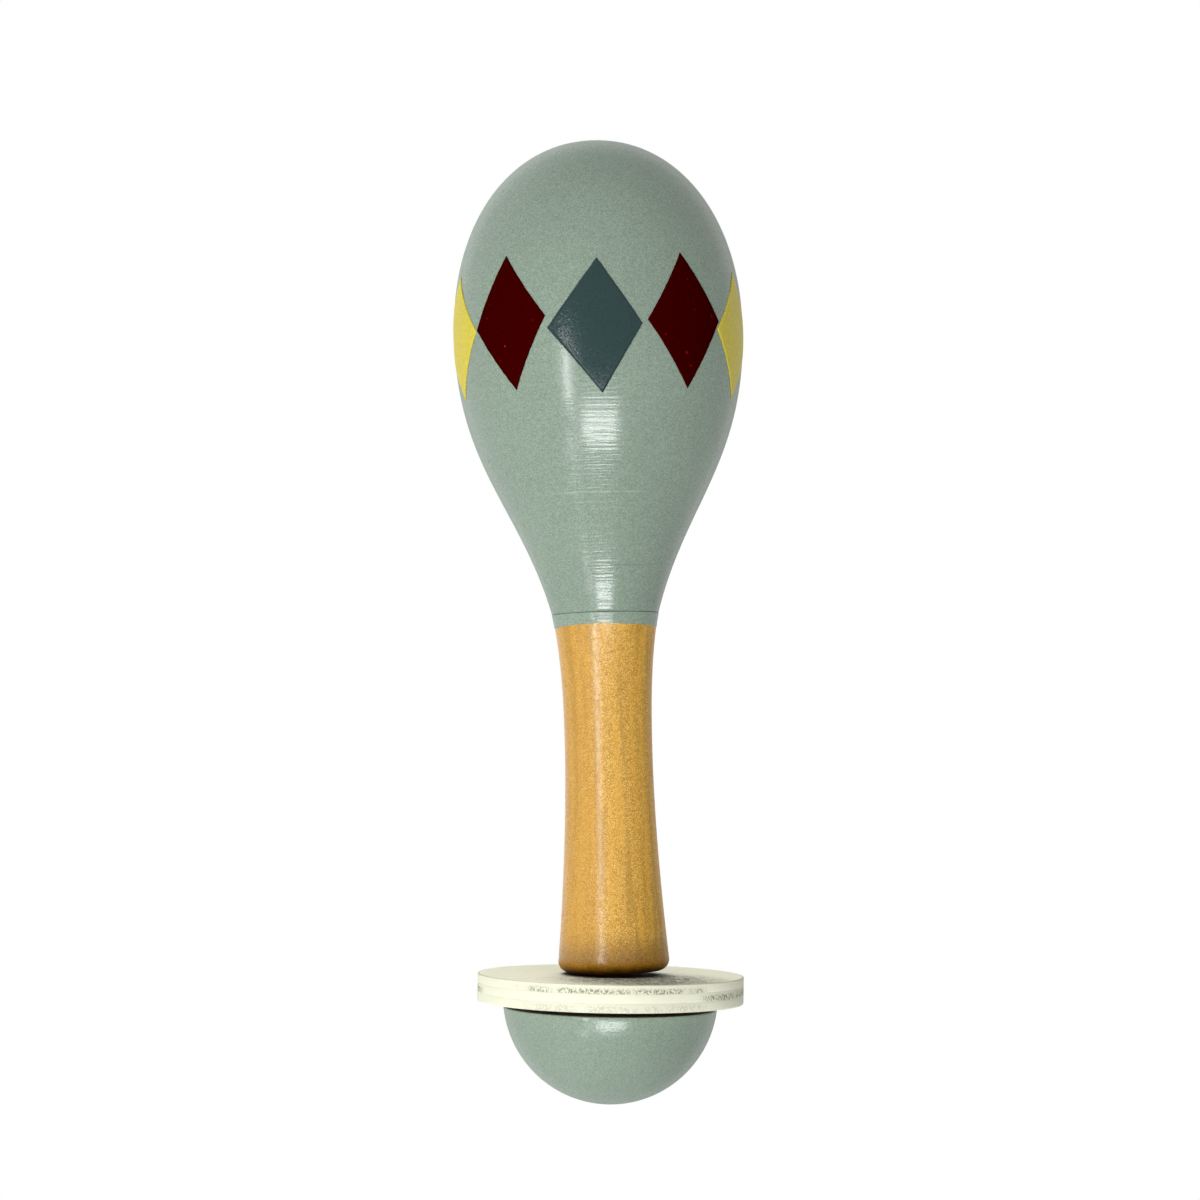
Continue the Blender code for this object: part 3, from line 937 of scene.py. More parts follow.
@dataclass
class Head:
    """The painted head: a hollow crown on a neck that plugs it from below."""

    marks: Landmarks
    widest_above_shoulder: float = 0.0636
    crown_power: float = 2.12
    neck_radius: float = 0.01195
    neck_slope: float = 0.267
    neck_pull: float = 0.0245
    belly_pull: float = 0.0298
    wall: float = 0.005
    spigot_radius: float = 0.018
    socket_radius: float = 0.0068
    ridge_height: float = 0.00002
    ridge_reach: float = 0.0004
    ridge_span: float = 2.2
    scratch_rise: float = 0.0101
    lip: float = 0.00012
    hairline: float = 0.000002
    crack: float = 0.00004
    crack_swings: Swings = ((1, 0.00002, 0.0), (2, 0.000014, 0.0), (5, 0.00001, 0.3))
    paint_depth: float = 0.00048
    crown_share: float = 0.93
    round_steps: int = 192
    arc_steps: int = 44
    side_steps: int = 44
    neck_steps: int = 44
    inner_steps: int = 18
    ridge_steps: int = 24

    @property
    def widest(self) -> float:
        """Height of the head's widest ring."""
        return self.marks.shoulder + self.widest_above_shoulder

    def radius_at(self, height: float) -> float:
        """Find the head's outer radius between its foot and its widest ring.

        Args:
            height: Height to look at.

        Returns:
            The radius there.
        """
        foot, top, wide = self.marks.shoulder, self.widest, self.marks.head_radius
        rises = (foot, foot + self.neck_pull, top - self.belly_pull, top)
        swells = (self.neck_radius, self.neck_radius + self.neck_slope * self.neck_pull, wide, wide)
        low, high = 0.0, 1.0
        for _ in range(HALVINGS):
            share = (low + high) / 2
            low, high = (share, high) if self._curve(rises, share) < height else (low, share)
        return self._curve(swells, share)

    @staticmethod
    def _curve(knots: tuple[float, ...], share: float) -> float:
        """Give one coordinate of a cubic curve.

        Args:
            knots: That coordinate of its four knots.
            share: How far along the curve, from 0 to 1.

        Returns:
            The coordinate.
        """
        rest = 1.0 - share
        weights = (rest ** 3, 3 * rest * rest * share, 3 * rest * share * share, share ** 3)
        return sum(weight * knot for weight, knot in zip(weights, knots))

    def ridged(self, height: float) -> float:
        """Give the outer radius with the slight ridge of paint over the joint of the two shells."""
        away = (height - self.marks.shell_joint) / self.ridge_reach
        return self.radius_at(height) + self.ridge_height * math.exp(-away * away)

    def dome_over(self, radius: float, rise: float, count: int) -> Profile:
        """Draw a slightly squared half oval, from its top on the axis to the widest ring.

        Args:
            radius: Radius at the widest ring.
            rise: Height above the widest ring.
            count: Number of steps.

        Returns:
            The points.
        """
        points = [(0.0, self.widest + rise)]
        for angle in spread(QUARTER_TURN, 0.0, count)[1:]:
            across = radius * max(math.cos(angle), 0.0) ** (2 / self.crown_power)
            points.append((across, self.widest + rise * math.sin(angle) ** (2 / self.crown_power)))
        return points

    def joint_heights(self, start: float, end: float, count: int) -> list[float]:
        """List heights down a side, with extra ones where the ridge over the joint lies.

        Args:
            start: Upper height.
            end: Lower height.
            count: Number of even steps.

        Returns:
            The heights, from the top down.
        """
        joint, reach = self.marks.shell_joint, self.ridge_span * self.ridge_reach
        near = spread(joint + reach, joint - reach, self.ridge_steps)
        close = [height for height in near if end < height < start]
        even = [height for height in spread(start, end, count) if abs(height - joint) > reach]
        return sorted({*close, *even, start, end}, reverse=True)

    def build_crown(self) -> Piece:
        """Turn the hollow upper shell.

        Returns:
            The shell, open below.
        """
        marks = self.marks
        rise = marks.head_top - self.widest
        rim = marks.shell_joint + self.hairline
        outside = self.dome_over(marks.head_radius, rise, self.arc_steps)
        heights = self.joint_heights(self.widest, rim + self.hairline, self.side_steps)[1:]
        outside += [(self.ridged(height), height) for height in heights]
        outside.append((self.ridged(rim) - self.hairline, rim))
        mouth = self.spigot_radius + marks.seam
        inside = self.dome_over(marks.head_radius - self.wall, rise - self.wall, self.inner_steps)
        swell = marks.head_radius - self.wall - mouth
        for height in spread(self.widest, marks.cavity_floor, self.inner_steps)[1:]:
            share = (height - marks.cavity_floor) / (self.widest - marks.cavity_floor)
            inside.append((mouth + swell * math.sin(share * QUARTER_TURN), height))
        inside.append((mouth, rim))
        return turn("crown_shell", outside + inside[::-1], self.round_steps)

    def build_neck(self) -> Piece:
        """Turn the neck, and open an uneven crack where it meets the handle.

        Returns:
            The neck, with its spigot and socket.
        """
        marks, spigot = self.marks, self.spigot_radius
        foot = marks.shoulder + self.crack
        top = marks.shell_joint - self.hairline
        socket_top = marks.tenon_top + marks.seam
        profile = [(0.0, marks.cavity_floor), (spigot, marks.cavity_floor), (spigot, top)]
        profile.append((self.ridged(top) - self.hairline, top))
        heights = self.joint_heights(top - self.hairline, foot + self.lip, self.neck_steps)
        profile += [(self.ridged(height), height) for height in heights]
        profile.append((self.radius_at(foot) - self.lip / 2, foot + self.lip / 4))
        profile.append((self.radius_at(foot) - self.lip * 1.5, foot))
        profile += [(self.socket_radius, foot), (self.socket_radius, socket_top), (0.0, socket_top)]
        neck = turn("neck_plug", profile, self.round_steps)
        shift_heights(neck, lambda place: self._lifted(place, foot))
        return neck

    def _lifted(self, place: Vector, foot: float) -> float:
        """Give how far a point of the neck rises where the paint has cracked below it.

        Args:
            place: Place of the point.
            foot: Height of the neck's lower face.

        Returns:
            The rise.
        """
        if place.z > foot + self.lip / 2:
            return 0.0
        return max(waves(place, self.crack_swings), -self.crack / 2)

    def _is_inside(self, place: Vector) -> bool:
        """Say whether a place lies deeper than the paint reaches.

        Args:
            place: Place in the head.

        Returns:
            Whether it is bare wood.
        """
        if place.z < self.widest:
            return place.xy.length < self.radius_at(place.z) - self.paint_depth
        share = (place.z - self.widest) / (self.marks.head_top - self.widest)
        reach = (place.xy.length / self.marks.head_radius) ** self.crown_power + share ** self.crown_power
        return reach < self.crown_share

    def build(self, effects: Effects) -> Piece:
        """Make, dress and fit both shells.

        Args:
            effects: Shared effects.

        Returns:
            The crown, which the diamonds stick to.
        """
        joint, scratch = self.marks.shell_joint, self.marks.shoulder + self.scratch_rise
        # The lighter line over the shell joint is a painted highlight on the paint's ridge, brightest near
        # the front and back; the darker one lower down is a scratch.
        lines = (PaintLine(joint, tone=1.6, strength=0.6, middle=-0.001, reach=0.013),
                 PaintLine(scratch, tone=0.5, strength=0.7, middle=0.003, reach=0.009, half_width=0.0002))
        paint = SagePaint("head_paint", lines=lines).mix(effects)
        bare = PlainWood("turned_bare_wood", linear(214, 184, 132), linear(170, 132, 82)).mix(effects)
        crown = self.build_crown()
        for piece, node in ((crown, "head_crown"), (self.build_neck(), "head_neck")):
            for face in piece.data.polygons:
                face.material_index = int(self._is_inside(face.center))
            fit(piece, Body.MARACA.value, Slot.PAINT, (paint, bare), node)
        return crown


@dataclass
class Handle:
    """The varnished handle, and the paint of the head that runs a little way down over it."""

    marks: Landmarks
    end_radius: float = 0.01265
    end_rounding: float = 0.0025
    waist_radius: float = 0.00983
    waist_height: float = 0.0
    shoulder_radius: float = 0.0119
    lower_power: float = 1.75
    upper_power: float = 2.7
    tenon_radius: float = 0.0065
    chamfer: float = 0.0006
    bore_radius: float = 0.0043
    bore_depth: float = 0.0183
    paint_length: float = 0.0028
    paint_thickness: float = 0.00004
    paint_swelling: float = 0.0001
    paint_even: float = 0.6
    paint_swings: Swings = (
        (1, 0.00008, 1.2), (2, 0.00026, 0.0), (3, 0.00004, 2.0), (7, 0.00003, 0.4), (17, 0.00002, 1.1))
    # The collar's paint is the head's paint made lighter: painted light.
    collar_painted_light: float = 1.08
    round_steps: int = 160
    grip_steps: int = 72
    end_steps: int = 12
    collar_steps: int = 12
    bore_steps: int = 64

    def radius_at(self, height: float) -> float:
        """Give the radius of the grip.

        Args:
            height: Height to look at.

        Returns:
            The radius there.
        """
        waist = self.waist_radius
        if height < self.waist_height:
            reach = (self.waist_height - height) / (self.waist_height - self.marks.handle_end)
            return waist + (self.end_radius - waist) * reach ** self.lower_power
        reach = (height - self.waist_height) / (self.marks.shoulder - self.waist_height)
        return waist + (self.shoulder_radius - waist) * reach ** self.upper_power

    def build_grip(self, base_place: Matrix) -> Piece:
        """Turn the grip with its tenon, and bore its end for the dowel.

        Args:
            base_place: Place of the dowel's top end.

        Returns:
            The grip.
        """
        marks, rounding, tenon = self.marks, self.end_rounding, self.tenon_radius
        start = marks.handle_end + rounding
        profile = [(0.0, marks.tenon_top), (tenon - self.chamfer, marks.tenon_top)]
        profile += [(tenon, marks.tenon_top - self.chamfer), (tenon, marks.shoulder)]
        heights = spread(marks.shoulder, start, self.grip_steps)
        profile += [(self.radius_at(height), height) for height in heights]
        corner = (self.radius_at(start) - rounding, start)
        profile += arc(corner, rounding, 0.0, -QUARTER_TURN, self.end_steps)[1:]
        profile.append((0.0, marks.handle_end))
        grip = turn("handle_grip", profile, self.round_steps)
        drill = begin("bore_drill", bpy.ops.mesh.primitive_cylinder_add, vertices=self.bore_steps,
                      radius=self.bore_radius, depth=2 * self.bore_depth)
        settle(drill, base_place @ Matrix.Translation((0.0, 0.0, marks.seam - self.bore_depth)))
        apply_modifier(grip, "BOOLEAN", operation="DIFFERENCE", solver="EXACT", object=drill)
        bpy.data.objects.remove(drill, do_unlink=True)
        smooth(grip)
        return grip

    def build_collar(self) -> Piece:
        """Turn the thin skin of paint on the handle's top, with an uneven lower edge.

        Returns:
            The skin of paint.
        """
        top, low, skin = self.marks.shoulder, self.marks.shoulder - self.paint_length, self.paint_thickness
        inner, lap, tuck = self.tenon_radius + 4 * self.chamfer, skin / 4, 4 * skin
        profile = [(inner, top + lap), (self.radius_at(top), top + lap)]
        for height in spread(top - skin, low + skin, self.collar_steps):
            swollen = skin + self.paint_swelling * (height - low) / self.paint_length
            profile.append((self.radius_at(height) + swollen, height))
        profile += [(self.radius_at(low) + skin / 3, low), (self.radius_at(low) - skin, low)]
        profile += [(self.radius_at(top) - tuck, top - tuck), (inner, top - tuck), profile[0]]
        collar = turn("paint_collar", profile, self.round_steps)
        even = self.paint_even * self.paint_length
        shift_heights(collar, lambda place: waves(place, self.paint_swings)
                      * max(0.0, (top - place.z - even) / (self.paint_length - even)))
        return collar

    def build(self, effects: Effects, base_place: Matrix) -> None:
        """Make, dress and fit the handle and its paint.

        Args:
            effects: Shared effects.
            base_place: Place of the dowel's top end.
        """
        varnish = VarnishedWood("handle_varnish", self.marks.handle_end).mix(effects)
        # The collar takes a lighter copy of the head's paint: painted light.
        paint = SagePaint("collar_paint", toned(SagePaint.colour, self.collar_painted_light)).mix(effects)
        fit(self.build_grip(base_place), Body.MARACA.value, Slot.VARNISH, (varnish,), "handle")
        fit(self.build_collar(), Body.MARACA.value, Slot.PAINT, (paint,))


@dataclass(frozen=True)
class Placing:
    """How one diamond was stuck on by hand, off its even place.

    Attributes:
        hue: Colour of its film.
        turned: Degrees that it sits too far round, towards +X.
        lifted: Millimetres that it sits too high.
        leaning: Degrees that it leans, its top towards -X.
        half_width: Degrees from its middle to a side tip.
        half_height: Millimetres from its middle to its top tip.
        skewed: Degrees that its side tips lie too far round, towards +X.
    """

    hue: Hue
    turned: float
    lifted: float
    leaning: float
    half_width: float
    half_height: float
    skewed: float = 0.0


@dataclass
class DiamondRing:
    """Ten diamonds of film stuck round the head."""

    marks: Landmarks
    middle_height: float = 0.0922
    film: float = 0.00012
    film_gap: float = 0.00002
    cuts: int = 27
    wobble: float = 0.00004
    placings: tuple[Placing, ...] = (
        Placing(Hue.BLUE, 0.5, -0.6, 1.2, 18.4, 14.6, -1.9),
        Placing(Hue.RED, 0.5, 0.9, 2.6, 17.4, 14.8),
        Placing(Hue.YELLOW, -1.0, -0.5, -0.8, 18.0, 14.1),
        Placing(Hue.RED, 0.4, 0.3, -1.5, 17.2, 14.6),
        Placing(Hue.BLUE, -0.3, -0.6, 0.9, 17.8, 14.4, 0.8),
        Placing(Hue.RED, 0.2, 0.2, -2.0, 17.3, 14.7),
        Placing(Hue.BLUE, 0.3, -0.3, 1.4, 17.9, 14.3, -0.6),
        Placing(Hue.RED, -0.4, 0.5, 0.8, 17.4, 14.6),
        Placing(Hue.YELLOW, -1.4, 0.4, 0.6, 18.4, 13.8),
        Placing(Hue.RED, -1.1, 1.3, 3.7, 17.1, 14.8, -0.4),
    )

    def cut_diamond(self, name: str, place: Placing, seed: int) -> Piece:
        """Cut one flat diamond with slightly uneven edges.

        Args:
            name: Name of the piece.
            place: How it was stuck on.
            seed: Seed for its uneven edges.

        Returns:
            The flat diamond, facing +Z.
        """
        radius, high = self.marks.head_radius, place.half_height * MM
        left, right = (radius * math.sin(math.radians(place.skewed + side * place.half_width))
                       for side in (-1, 1))
        piece = begin(name, bpy.ops.mesh.primitive_plane_add, size=1.0)
        bpy.ops.object.mode_set(mode="EDIT")
        tips = {(-0.5, -0.5): (0.0, -high), (0.5, -0.5): (right, 0.0),
                (0.5, 0.5): (0.0, high), (-0.5, 0.5): (left, 0.0)}
        for corner, tip in tips.items():
            pick_points(piece, lambda spot: (spot.xy - Vector(corner)).length < MM)
            bpy.ops.transform.translate(value=(tip[0] - corner[0], tip[1] - corner[1], 0.0))
        bpy.ops.mesh.select_all(action="SELECT")
        bpy.ops.mesh.subdivide(number_cuts=self.cuts)
        bpy.ops.transform.vertex_random(offset=self.wobble, uniform=1.0, seed=seed)
        bpy.ops.object.mode_set(mode="OBJECT")
        return piece

    def stick(self, piece: Piece, place: Placing, index: int, crown: Piece) -> None:
        """Wrap a flat diamond on the head and give it the film's thickness.

        Args:
            piece: Flat diamond.
            place: How it was stuck on.
            index: Its place round the head, counted from the front towards +X.
            crown: Shell that it sticks to.
        """
        facing = math.tau * index / len(self.placings) + math.radians(place.turned)
        upright = Euler((QUARTER_TURN, 0.0, 0.0)).to_matrix().to_4x4()
        leaning = Matrix.Rotation(math.radians(place.leaning), 4, "Z")
        height = self.middle_height + place.lifted * MM
        ahead = Matrix.Translation((0.0, -2 * self.marks.head_radius, height))
        piece.matrix_world = Matrix.Rotation(facing, 4, "Z") @ ahead @ upright @ leaning
        apply_modifier(piece, "SHRINKWRAP", target=crown, wrap_method="PROJECT", use_project_z=True,
                       use_negative_direction=True, use_positive_direction=False, offset=self.film_gap)
        settle(piece, piece.matrix_world.copy())
        smooth(piece)
        apply_modifier(piece, "SOLIDIFY", thickness=self.film, offset=1.0)

    def build(self, effects: Effects, crown: Piece) -> None:
        """Make, dress and fit the ten diamonds.

        Args:
            effects: Shared effects.
            crown: Shell that they stick to.
        """
        films = {
            Hue.BLUE: Film("blue_film", (0.016, 0.040, 0.040), (0.2, 0.26, 0.26), 0.12, 0.24, 0.2, 0.00007),
            Hue.RED: Film("red_film", (0.037, 0.0001, 0.0001), (0.42, 0.012, 0.02), 0.75, 0.0),
            Hue.YELLOW: Film("yellow_film", (0.63, 0.525, 0.055), (0.72, 0.66, 0.3), 0.1, 0.12),
        }
        finishes = {hue: film.mix(effects) for hue, film in films.items()}
        for index, place in enumerate(self.placings):
            hue = place.hue.value
            node = f"diamond_{index + 1:02d}_{hue}"
            piece = self.cut_diamond(f"film_{node}", place, index)
            self.stick(piece, place, index, crown)
            fit(piece, Body.MARACA.value, Slot(f"{hue}_film"), (finishes[place.hue],), node)


@dataclass
class Base:
    """The base that plugs into the handle: a plywood disc, a painted dome and the dowel through them."""

    marks: Landmarks
    dowel_in_handle: float = 0.018
    dowel_in_dome: float = 0.010
    dowel_radius: float = 0.004
    dowel_chamfer: float = 0.0005
    disc_radius: float = 0.0297
    disc_thickness: float = 0.006
    disc_arris: float = 0.00025
    glue_groove: float = 0.00002
    glue_bead: float = 0.0004
    dome_radius: float = 0.0240
    dome_height: float = 0.0224
    dome_arris: float = 0.0003
    recess_height: float = 0.0011
    recess_width: float = 0.006
    handle_flat: float = 0.01015
    round_steps: int = 192
    dowel_steps: int = 64
    dowel_rings: int = 10
    disc_rings: int = 8
    disc_arris_steps: int = 4
    seat_rings: int = 6
    recess_rings: int = 3
    dome_arris_steps: int = 6
    dome_steps: int = 56
    tilt: float = field(init=False)

    def __post_init__(self) -> None:
        """Read how far the base leans from the joint that it pulls off along."""
        pull = next(joint for joint in frame["joints"] if joint["child"] == Body.BASE.value)
        axis = Vector(pull["axis"])
        self.tilt = math.atan2(axis.x, axis.z) if axis.z > 0 else math.atan2(-axis.x, -axis.z)

    @property
    def place(self) -> Matrix:
        """Place of the dowel's top end, with Z along the dowel."""
        top = Matrix.Translation((0.0, 0.0, self.marks.handle_end + self.dowel_in_handle))
        return top @ Matrix.Rotation(self.tilt, 4, "Y")

    @property
    def disc_top(self) -> float:
        """Height of the disc's top face along the dowel."""
        return -(self.dowel_in_handle + self.marks.seam + self.handle_flat * math.sin(self.tilt))

    @property
    def dome_top(self) -> float:
        """Height of the dome's flat top along the dowel."""
        return self.disc_top - self.disc_thickness - self.marks.seam

    @property
    def hole(self) -> float:
        """Radius of the hole that the dowel goes through."""
        return self.dowel_radius + self.marks.seam

    def build_disc(self) -> Piece:
        """Turn the disc, with shallow lines where its plies are glued.

        Returns:
            The disc, in place.
        """
        top, under = self.disc_top, self.disc_top - self.disc_thickness
        hole, edge, arris = self.hole, self.disc_radius, self.disc_arris
        bead, groove, corner = self.glue_bead, self.glue_groove, self.disc_radius - self.disc_arris
        profile = [(hole, top + bead), (hole + bead, top + bead), (hole + 2 * bead, top)]
        profile += [(radius, top) for radius in spread(hole + 2 * bead, corner, self.disc_rings)[1:]]
        profile += arc((corner, top - arris), arris, QUARTER_TURN, 0.0, self.disc_arris_steps)[1:]
        for ply in (1, 2):
            line = top - self.disc_thickness * ply / 3
            profile += [(edge, line + 2 * groove), (edge - groove, line), (edge, line - 2 * groove)]
        profile += arc((corner, under + arris), arris, 0.0, -QUARTER_TURN, self.disc_arris_steps)
        profile += [(radius, under) for radius in spread(corner, hole, self.disc_rings)[1:]]
        profile.append(profile[0])
        disc = turn("plywood_disc", profile, self.round_steps)
        settle(disc, self.place)
        return disc

    def build_dome(self) -> Piece:
        """Turn the half ball, bored for the dowel and stepped down round its rim.

        Returns:
            The dome, in place.
        """
        top, arris, ball, hole = self.dome_top, self.dome_arris, self.dome_radius, self.hole
        step = top - self.recess_height
        centre = top - self.dome_height + ball
        floor = top - self.dowel_in_dome - self.marks.seam
        start = math.asin((step - arris - centre) / ball)
        rim = ball * math.cos(start)
        seat, corner = rim - self.recess_width, rim - arris
        profile = [(0.0, floor), (hole, floor), (hole, top)]
        profile += [(radius, top) for radius in spread(hole, seat, self.seat_rings)[1:]]
        profile += [(radius, step) for radius in spread(seat, corner, self.recess_rings)]
        profile += arc((corner, step - arris), arris, QUARTER_TURN, 0.0, self.dome_arris_steps)[1:-1]
        profile += arc((0.0, centre), ball, start, -QUARTER_TURN, self.dome_steps)[:-1]
        profile.append((0.0, centre - ball))
        dome = turn("painted_dome", profile, self.round_steps)
        # Faces of the recessed top, under the disc, take the dark second finish: painted shade.
        for face in dome.data.polygons:
            face.material_index = int(face.center.z > step - MERGE_DISTANCE)
        settle(dome, self.place)
        return dome

    def build_dowel(self) -> Piece:
        """Turn the dowel with its chamfered ends.

        Returns:
            The dowel, in place.
        """
        bottom, chamfer = self.dome_top - self.dowel_in_dome, self.dowel_chamfer
        wide, narrow = self.dowel_radius, self.dowel_radius - self.dowel_chamfer
        profile = [(0.0, 0.0), (narrow, 0.0), (wide, -chamfer)]
        profile += [(wide, height) for height in spread(-chamfer, bottom + chamfer, self.dowel_rings)[1:]]
        profile += [(narrow, bottom), (0.0, bottom)]
        dowel = turn("pale_dowel", profile, self.dowel_steps)
        settle(dowel, self.place)
        return dowel

    def build(self, effects: Effects) -> None:
        """Make, dress and fit the base.

        Args:
            effects: Shared effects.
        """
        middle = self.place @ Vector((0.0, 0.0, self.disc_top))
        board = Plywood("disc_plywood", middle, self.tilt, self.disc_radius, self.disc_thickness)
        # The dome's paint is the head's paint made 1 % lighter: painted light.
        paint = SagePaint("dome_paint", toned(SagePaint.colour, 1.01), streak_depth=0.000004,
                          peel_depth=0.00005, peel_fineness=1700.0, gloss=0.2, unevenness=0.29)
        # Dark brown for the recess under the disc: painted shade.
        stain_and_shade = PlainWood("recess_shade", linear(58, 42, 28), linear(30, 20, 12))
        wood = PlainWood("dowel_wood", linear(222, 192, 138), linear(184, 146, 92))
        dressed = (
            (self.build_dome(), Slot.PAINT, (paint, stain_and_shade), "base_dome"),
            (self.build_disc(), Slot.PLYWOOD, (board,), "base_disc"),
            (self.build_dowel(), Slot.DOWEL, (wood,), "base_dowel"),
        )
        for piece, slot, finishes, node in dressed:
            fit(piece, Body.BASE.value, slot, tuple(finish.mix(effects) for finish in finishes), node)


@dataclass
class Rattle:
    """Loose wooden beads in the head."""

    radius: float = 0.00245
    unevenness: Colour = (1.0, 0.96, 1.02)
    wobble: float = 0.00006
    wobble_seed: int = 5
    subdivisions: int = 4
    smoothings: int = 3
    turns: Colour = (1.7, 2.3, 0.9)

    def shape_bead(self) -> Piece:
        """Model one slightly uneven bead at the origin.

        Returns:
            The bead.
        """
        bead = begin("bead_pattern", bpy.ops.mesh.primitive_ico_sphere_add, subdivisions=self.subdivisions,
                     radius=self.radius)
        bpy.ops.object.mode_set(mode="EDIT")
        bpy.ops.transform.resize(value=self.unevenness)
        bpy.ops.transform.vertex_random(offset=self.wobble, uniform=0.0, normal=1.0, seed=self.wobble_seed)
        bpy.ops.mesh.vertices_smooth(factor=0.5, repeat=self.smoothings)
        bpy.ops.object.mode_set(mode="OBJECT")
        smooth(bead)
        return bead

    def build(self, effects: Effects) -> None:
        """Make, dress and fit the beads.

        Args:
            effects: Shared effects.
        """
        finish = PlainWood("bead_wood", linear(122, 80, 46), linear(74, 44, 24), 1400.0, 0.42, 0.45)
        wood = finish.mix(effects)
        pattern = self.shape_bead()
        nodes = sorted(name for name in frame["nodes"] if name.startswith("rattle_bead_"))
        for index, node in enumerate(nodes):
            make_active(pattern)
            bpy.ops.object.duplicate()
            bead = bpy.context.object
            number = node.rsplit("_", 1)[1]
            bead.name = bead.data.name = f"wooden_bead_{number}"
            low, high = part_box(node)
            turned = Euler([step * index for step in self.turns]).to_matrix().to_4x4()
            settle(bead, Matrix.Translation((low + high) / 2) @ turned)
            fit(bead, f"bead_{number}", Slot.BEAD, (wood,), node)
        bpy.data.objects.remove(pattern, do_unlink=True)


@dataclass(frozen=True)
class Lamp:
    """A flat soft lamp, hung at a bearing from the maraca and turned to face it.

    Attributes:
        name: Name of the lamp.
        bearing: Degrees round from the front, towards +X.
        rise: Degrees above the level of the maraca's waist.
        away: Distance.
        width: Width of its face.
        height: Height of its face.
        power: Watts.
        mirrored: Whether glossy surfaces show it.
        spread_out: Whether it also lights matt surfaces.
    """

    name: str
    bearing: float
    rise: float
    away: float
    width: float
    height: float
    power: float
    mirrored: bool = True
    spread_out: bool = True

    def hang(self, aim: Vector) -> None:
        """Hang the lamp.

        Args:
            aim: Point that it faces.
        """
        bearing, rise = math.radians(self.bearing), math.radians(self.rise)
        level = math.cos(rise)
        toward = Vector((math.sin(bearing) * level, -math.cos(bearing) * level, math.sin(rise)))
        light = bpy.data.lights.new(self.name, "AREA")
        light.shape = "RECTANGLE"
        light.size, light.size_y, light.energy = self.width, self.height, self.power
        lamp = bpy.data.objects.new(self.name, light)
        bpy.context.scene.collection.objects.link(lamp)
        lamp.location = aim + toward * self.away
        lamp.rotation_euler = (-toward).to_track_quat("-Z", "Y").to_euler()
        lamp.visible_camera = False
        lamp.visible_glossy = self.mirrored
        lamp.visible_diffuse = self.spread_out
        LOG.info("lamp %s hung", self.name)


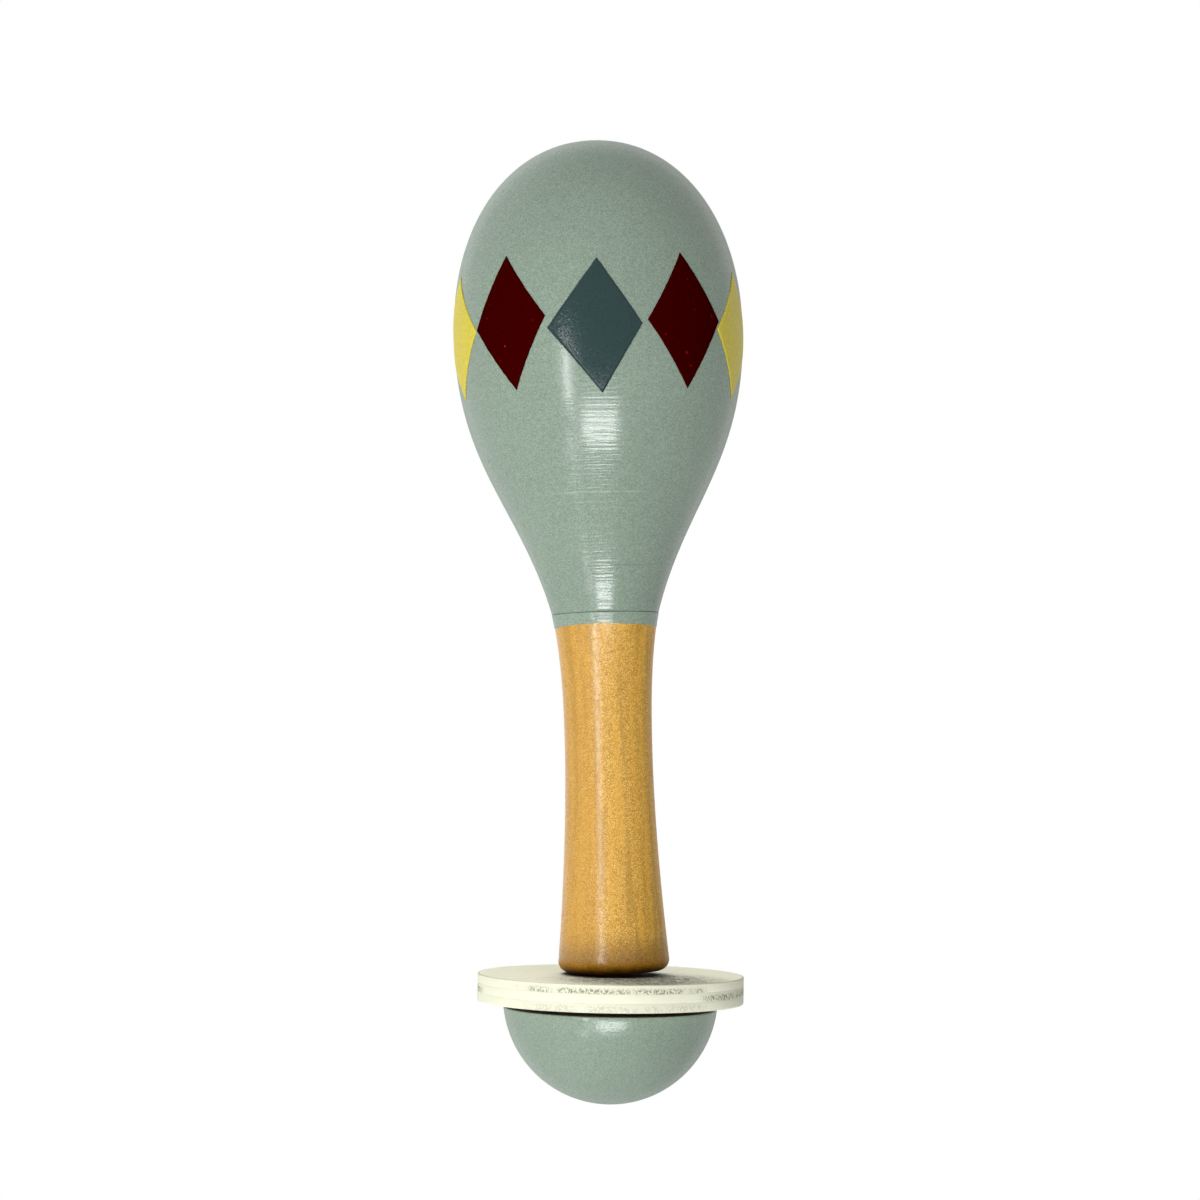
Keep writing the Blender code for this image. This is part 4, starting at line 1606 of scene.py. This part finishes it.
@dataclass
class Studio:
    """White studio: floor, lamps, sky light and the camera of the photograph."""

    floor_height: float = -0.85
    floor_size: float = 40.0
    floor_tones: tuple[Colour, Colour] = ((0.86, 0.86, 0.86), (0.90, 0.90, 0.89))
    shadow_reach: float = 0.9
    ambient: float = 0.20
    aim_height: float = 0.03
    camera_away: float = 0.6365
    camera_place: Point = (-0.0011, 0.0006)
    pitch: float = 3.008
    roll: float = -1.413
    lens: float = 85.0
    sensor: float = 36.0
    nearest: float = 0.01
    lamps: tuple[Lamp, ...] = (
        Lamp("softbox", -1.0, -30.2, 1.15, 0.59, 0.19, 8.9, spread_out=False),
        Lamp("halo", 0.0, -26.0, 1.2, 0.60, 0.40, 4.2),
        Lamp("strip", -26.0, -8.0, 1.1, 0.08, 0.50, 4.3),
        Lamp("kicker", -31.0, -36.0, 1.15, 0.18, 0.12, 1.0, spread_out=False),
        Lamp("fill", -42.0, -12.0, 1.5, 1.1, 1.1, 3.4, False),
        Lamp("right", 45.0, 5.0, 1.5, 1.1, 1.1, 2.9, False),
        Lamp("side", -75.0, 0.0, 1.5, 1.1, 1.1, 6.7, False),
        Lamp("top", 0.0, 60.0, 1.5, 1.1, 1.1, 4.3, False),
        Lamp("back", -160.0, 37.0, 1.5, 1.1, 1.1, 18.0, False),
    )

    def lay_floor(self) -> None:
        """Lay the pale floor, which holds the shadow near the maraca and turns white further out."""
        floor = begin("studio_floor", bpy.ops.mesh.primitive_plane_add, size=self.floor_size,
                      location=(0.0, 0.0, self.floor_height))
        bpy.ops.object.transform_apply(location=True, rotation=True, scale=True)
        pale = Finish("floor_white")
        x, y, _ = pale.split(pale.place)
        far = pale.ramp(pale.from_axis(x, y), self.shadow_reach, 2 * self.shadow_reach)
        grain = pale.noise(pale.place, 9.0, 3.0)
        rough = pale.ramp(grain, 0.2, 0.8, (0.85, 0.95))
        floor.data.materials.append(pale.wear(pale.tint(grain, *self.floor_tones), rough, 0.0))
        white = pale.add("Emission", {"Color": (1.0, 1.0, 1.0), "Strength": 1.0}).outputs[0]
        share = pale.times(far, self._seen(pale))
        mix = pale.add("MixShader", {0: share, 1: pale.shader.outputs[0], 2: white})
        pale.feed(pale.tree.nodes["Material Output"].inputs["Surface"], mix.outputs[0])

    @staticmethod
    def _seen(board: NodeBoard) -> Socket:
        """Tell rays that look at the background from those that gather light.

        Args:
            board: Board of the floor or of the world.

        Returns:
            1 for rays that look at it, and 0 for the others.
        """
        path = board.add("LightPath").outputs
        mirrored = board.sum("MAXIMUM", path["Is Glossy Ray"], path["Is Transmission Ray"])
        return board.sum("MAXIMUM", path["Is Camera Ray"], mirrored)

    def light(self) -> None:
        """Hang the lamps and set the even light from all round."""
        for lamp in self.lamps:
            lamp.hang(Vector((0.0, 0.0, self.aim_height)))
        world = bpy.data.worlds.new("white_studio")
        world.use_nodes = True
        bpy.context.scene.world = world
        board = NodeBoard(world.node_tree)
        background = world.node_tree.nodes["Background"]
        board.feed(background.inputs["Color"], (1.0, 1.0, 1.0))
        strength = board.ramp(self._seen(board), 0.0, 1.0, (self.ambient, 1.0))
        board.feed(background.inputs["Strength"], strength)
        bpy.context.scene.view_settings.view_transform = "Standard"

    def set_camera(self) -> None:
        """Set the camera where the photograph was taken from."""
        lens = bpy.data.cameras.new("photo_camera")
        lens.lens = self.lens
        lens.sensor_width = self.sensor
        lens.sensor_fit = "HORIZONTAL"
        lens.clip_start = self.nearest
        camera = bpy.data.objects.new("photo_camera", lens)
        bpy.context.scene.collection.objects.link(camera)
        across, height = self.camera_place
        looking = Matrix.Rotation(math.radians(90.0 + self.pitch), 4, "X")
        rolled = Matrix.Rotation(math.radians(self.roll), 4, "Z")
        camera.matrix_world = Matrix.Translation((across, -self.camera_away, height)) @ looking @ rolled
        bpy.context.scene.camera = camera

    def build(self) -> None:
        """Set up the whole studio."""
        self.lay_floor()
        self.light()
        self.set_camera()


def main() -> None:
    """Build every sub-assembly in order."""
    logging.basicConfig(level=logging.INFO, format="%(name)s: %(message)s")
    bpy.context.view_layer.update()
    marks = Landmarks()
    effects = Effects()
    base = Base(marks)
    crown = Head(marks).build(effects)
    Handle(marks).build(effects, base.place)
    DiamondRing(marks).build(effects, crown)
    base.build(effects)
    Rattle().build(effects)
    Studio().build()


if __name__ == "__main__":
    main()
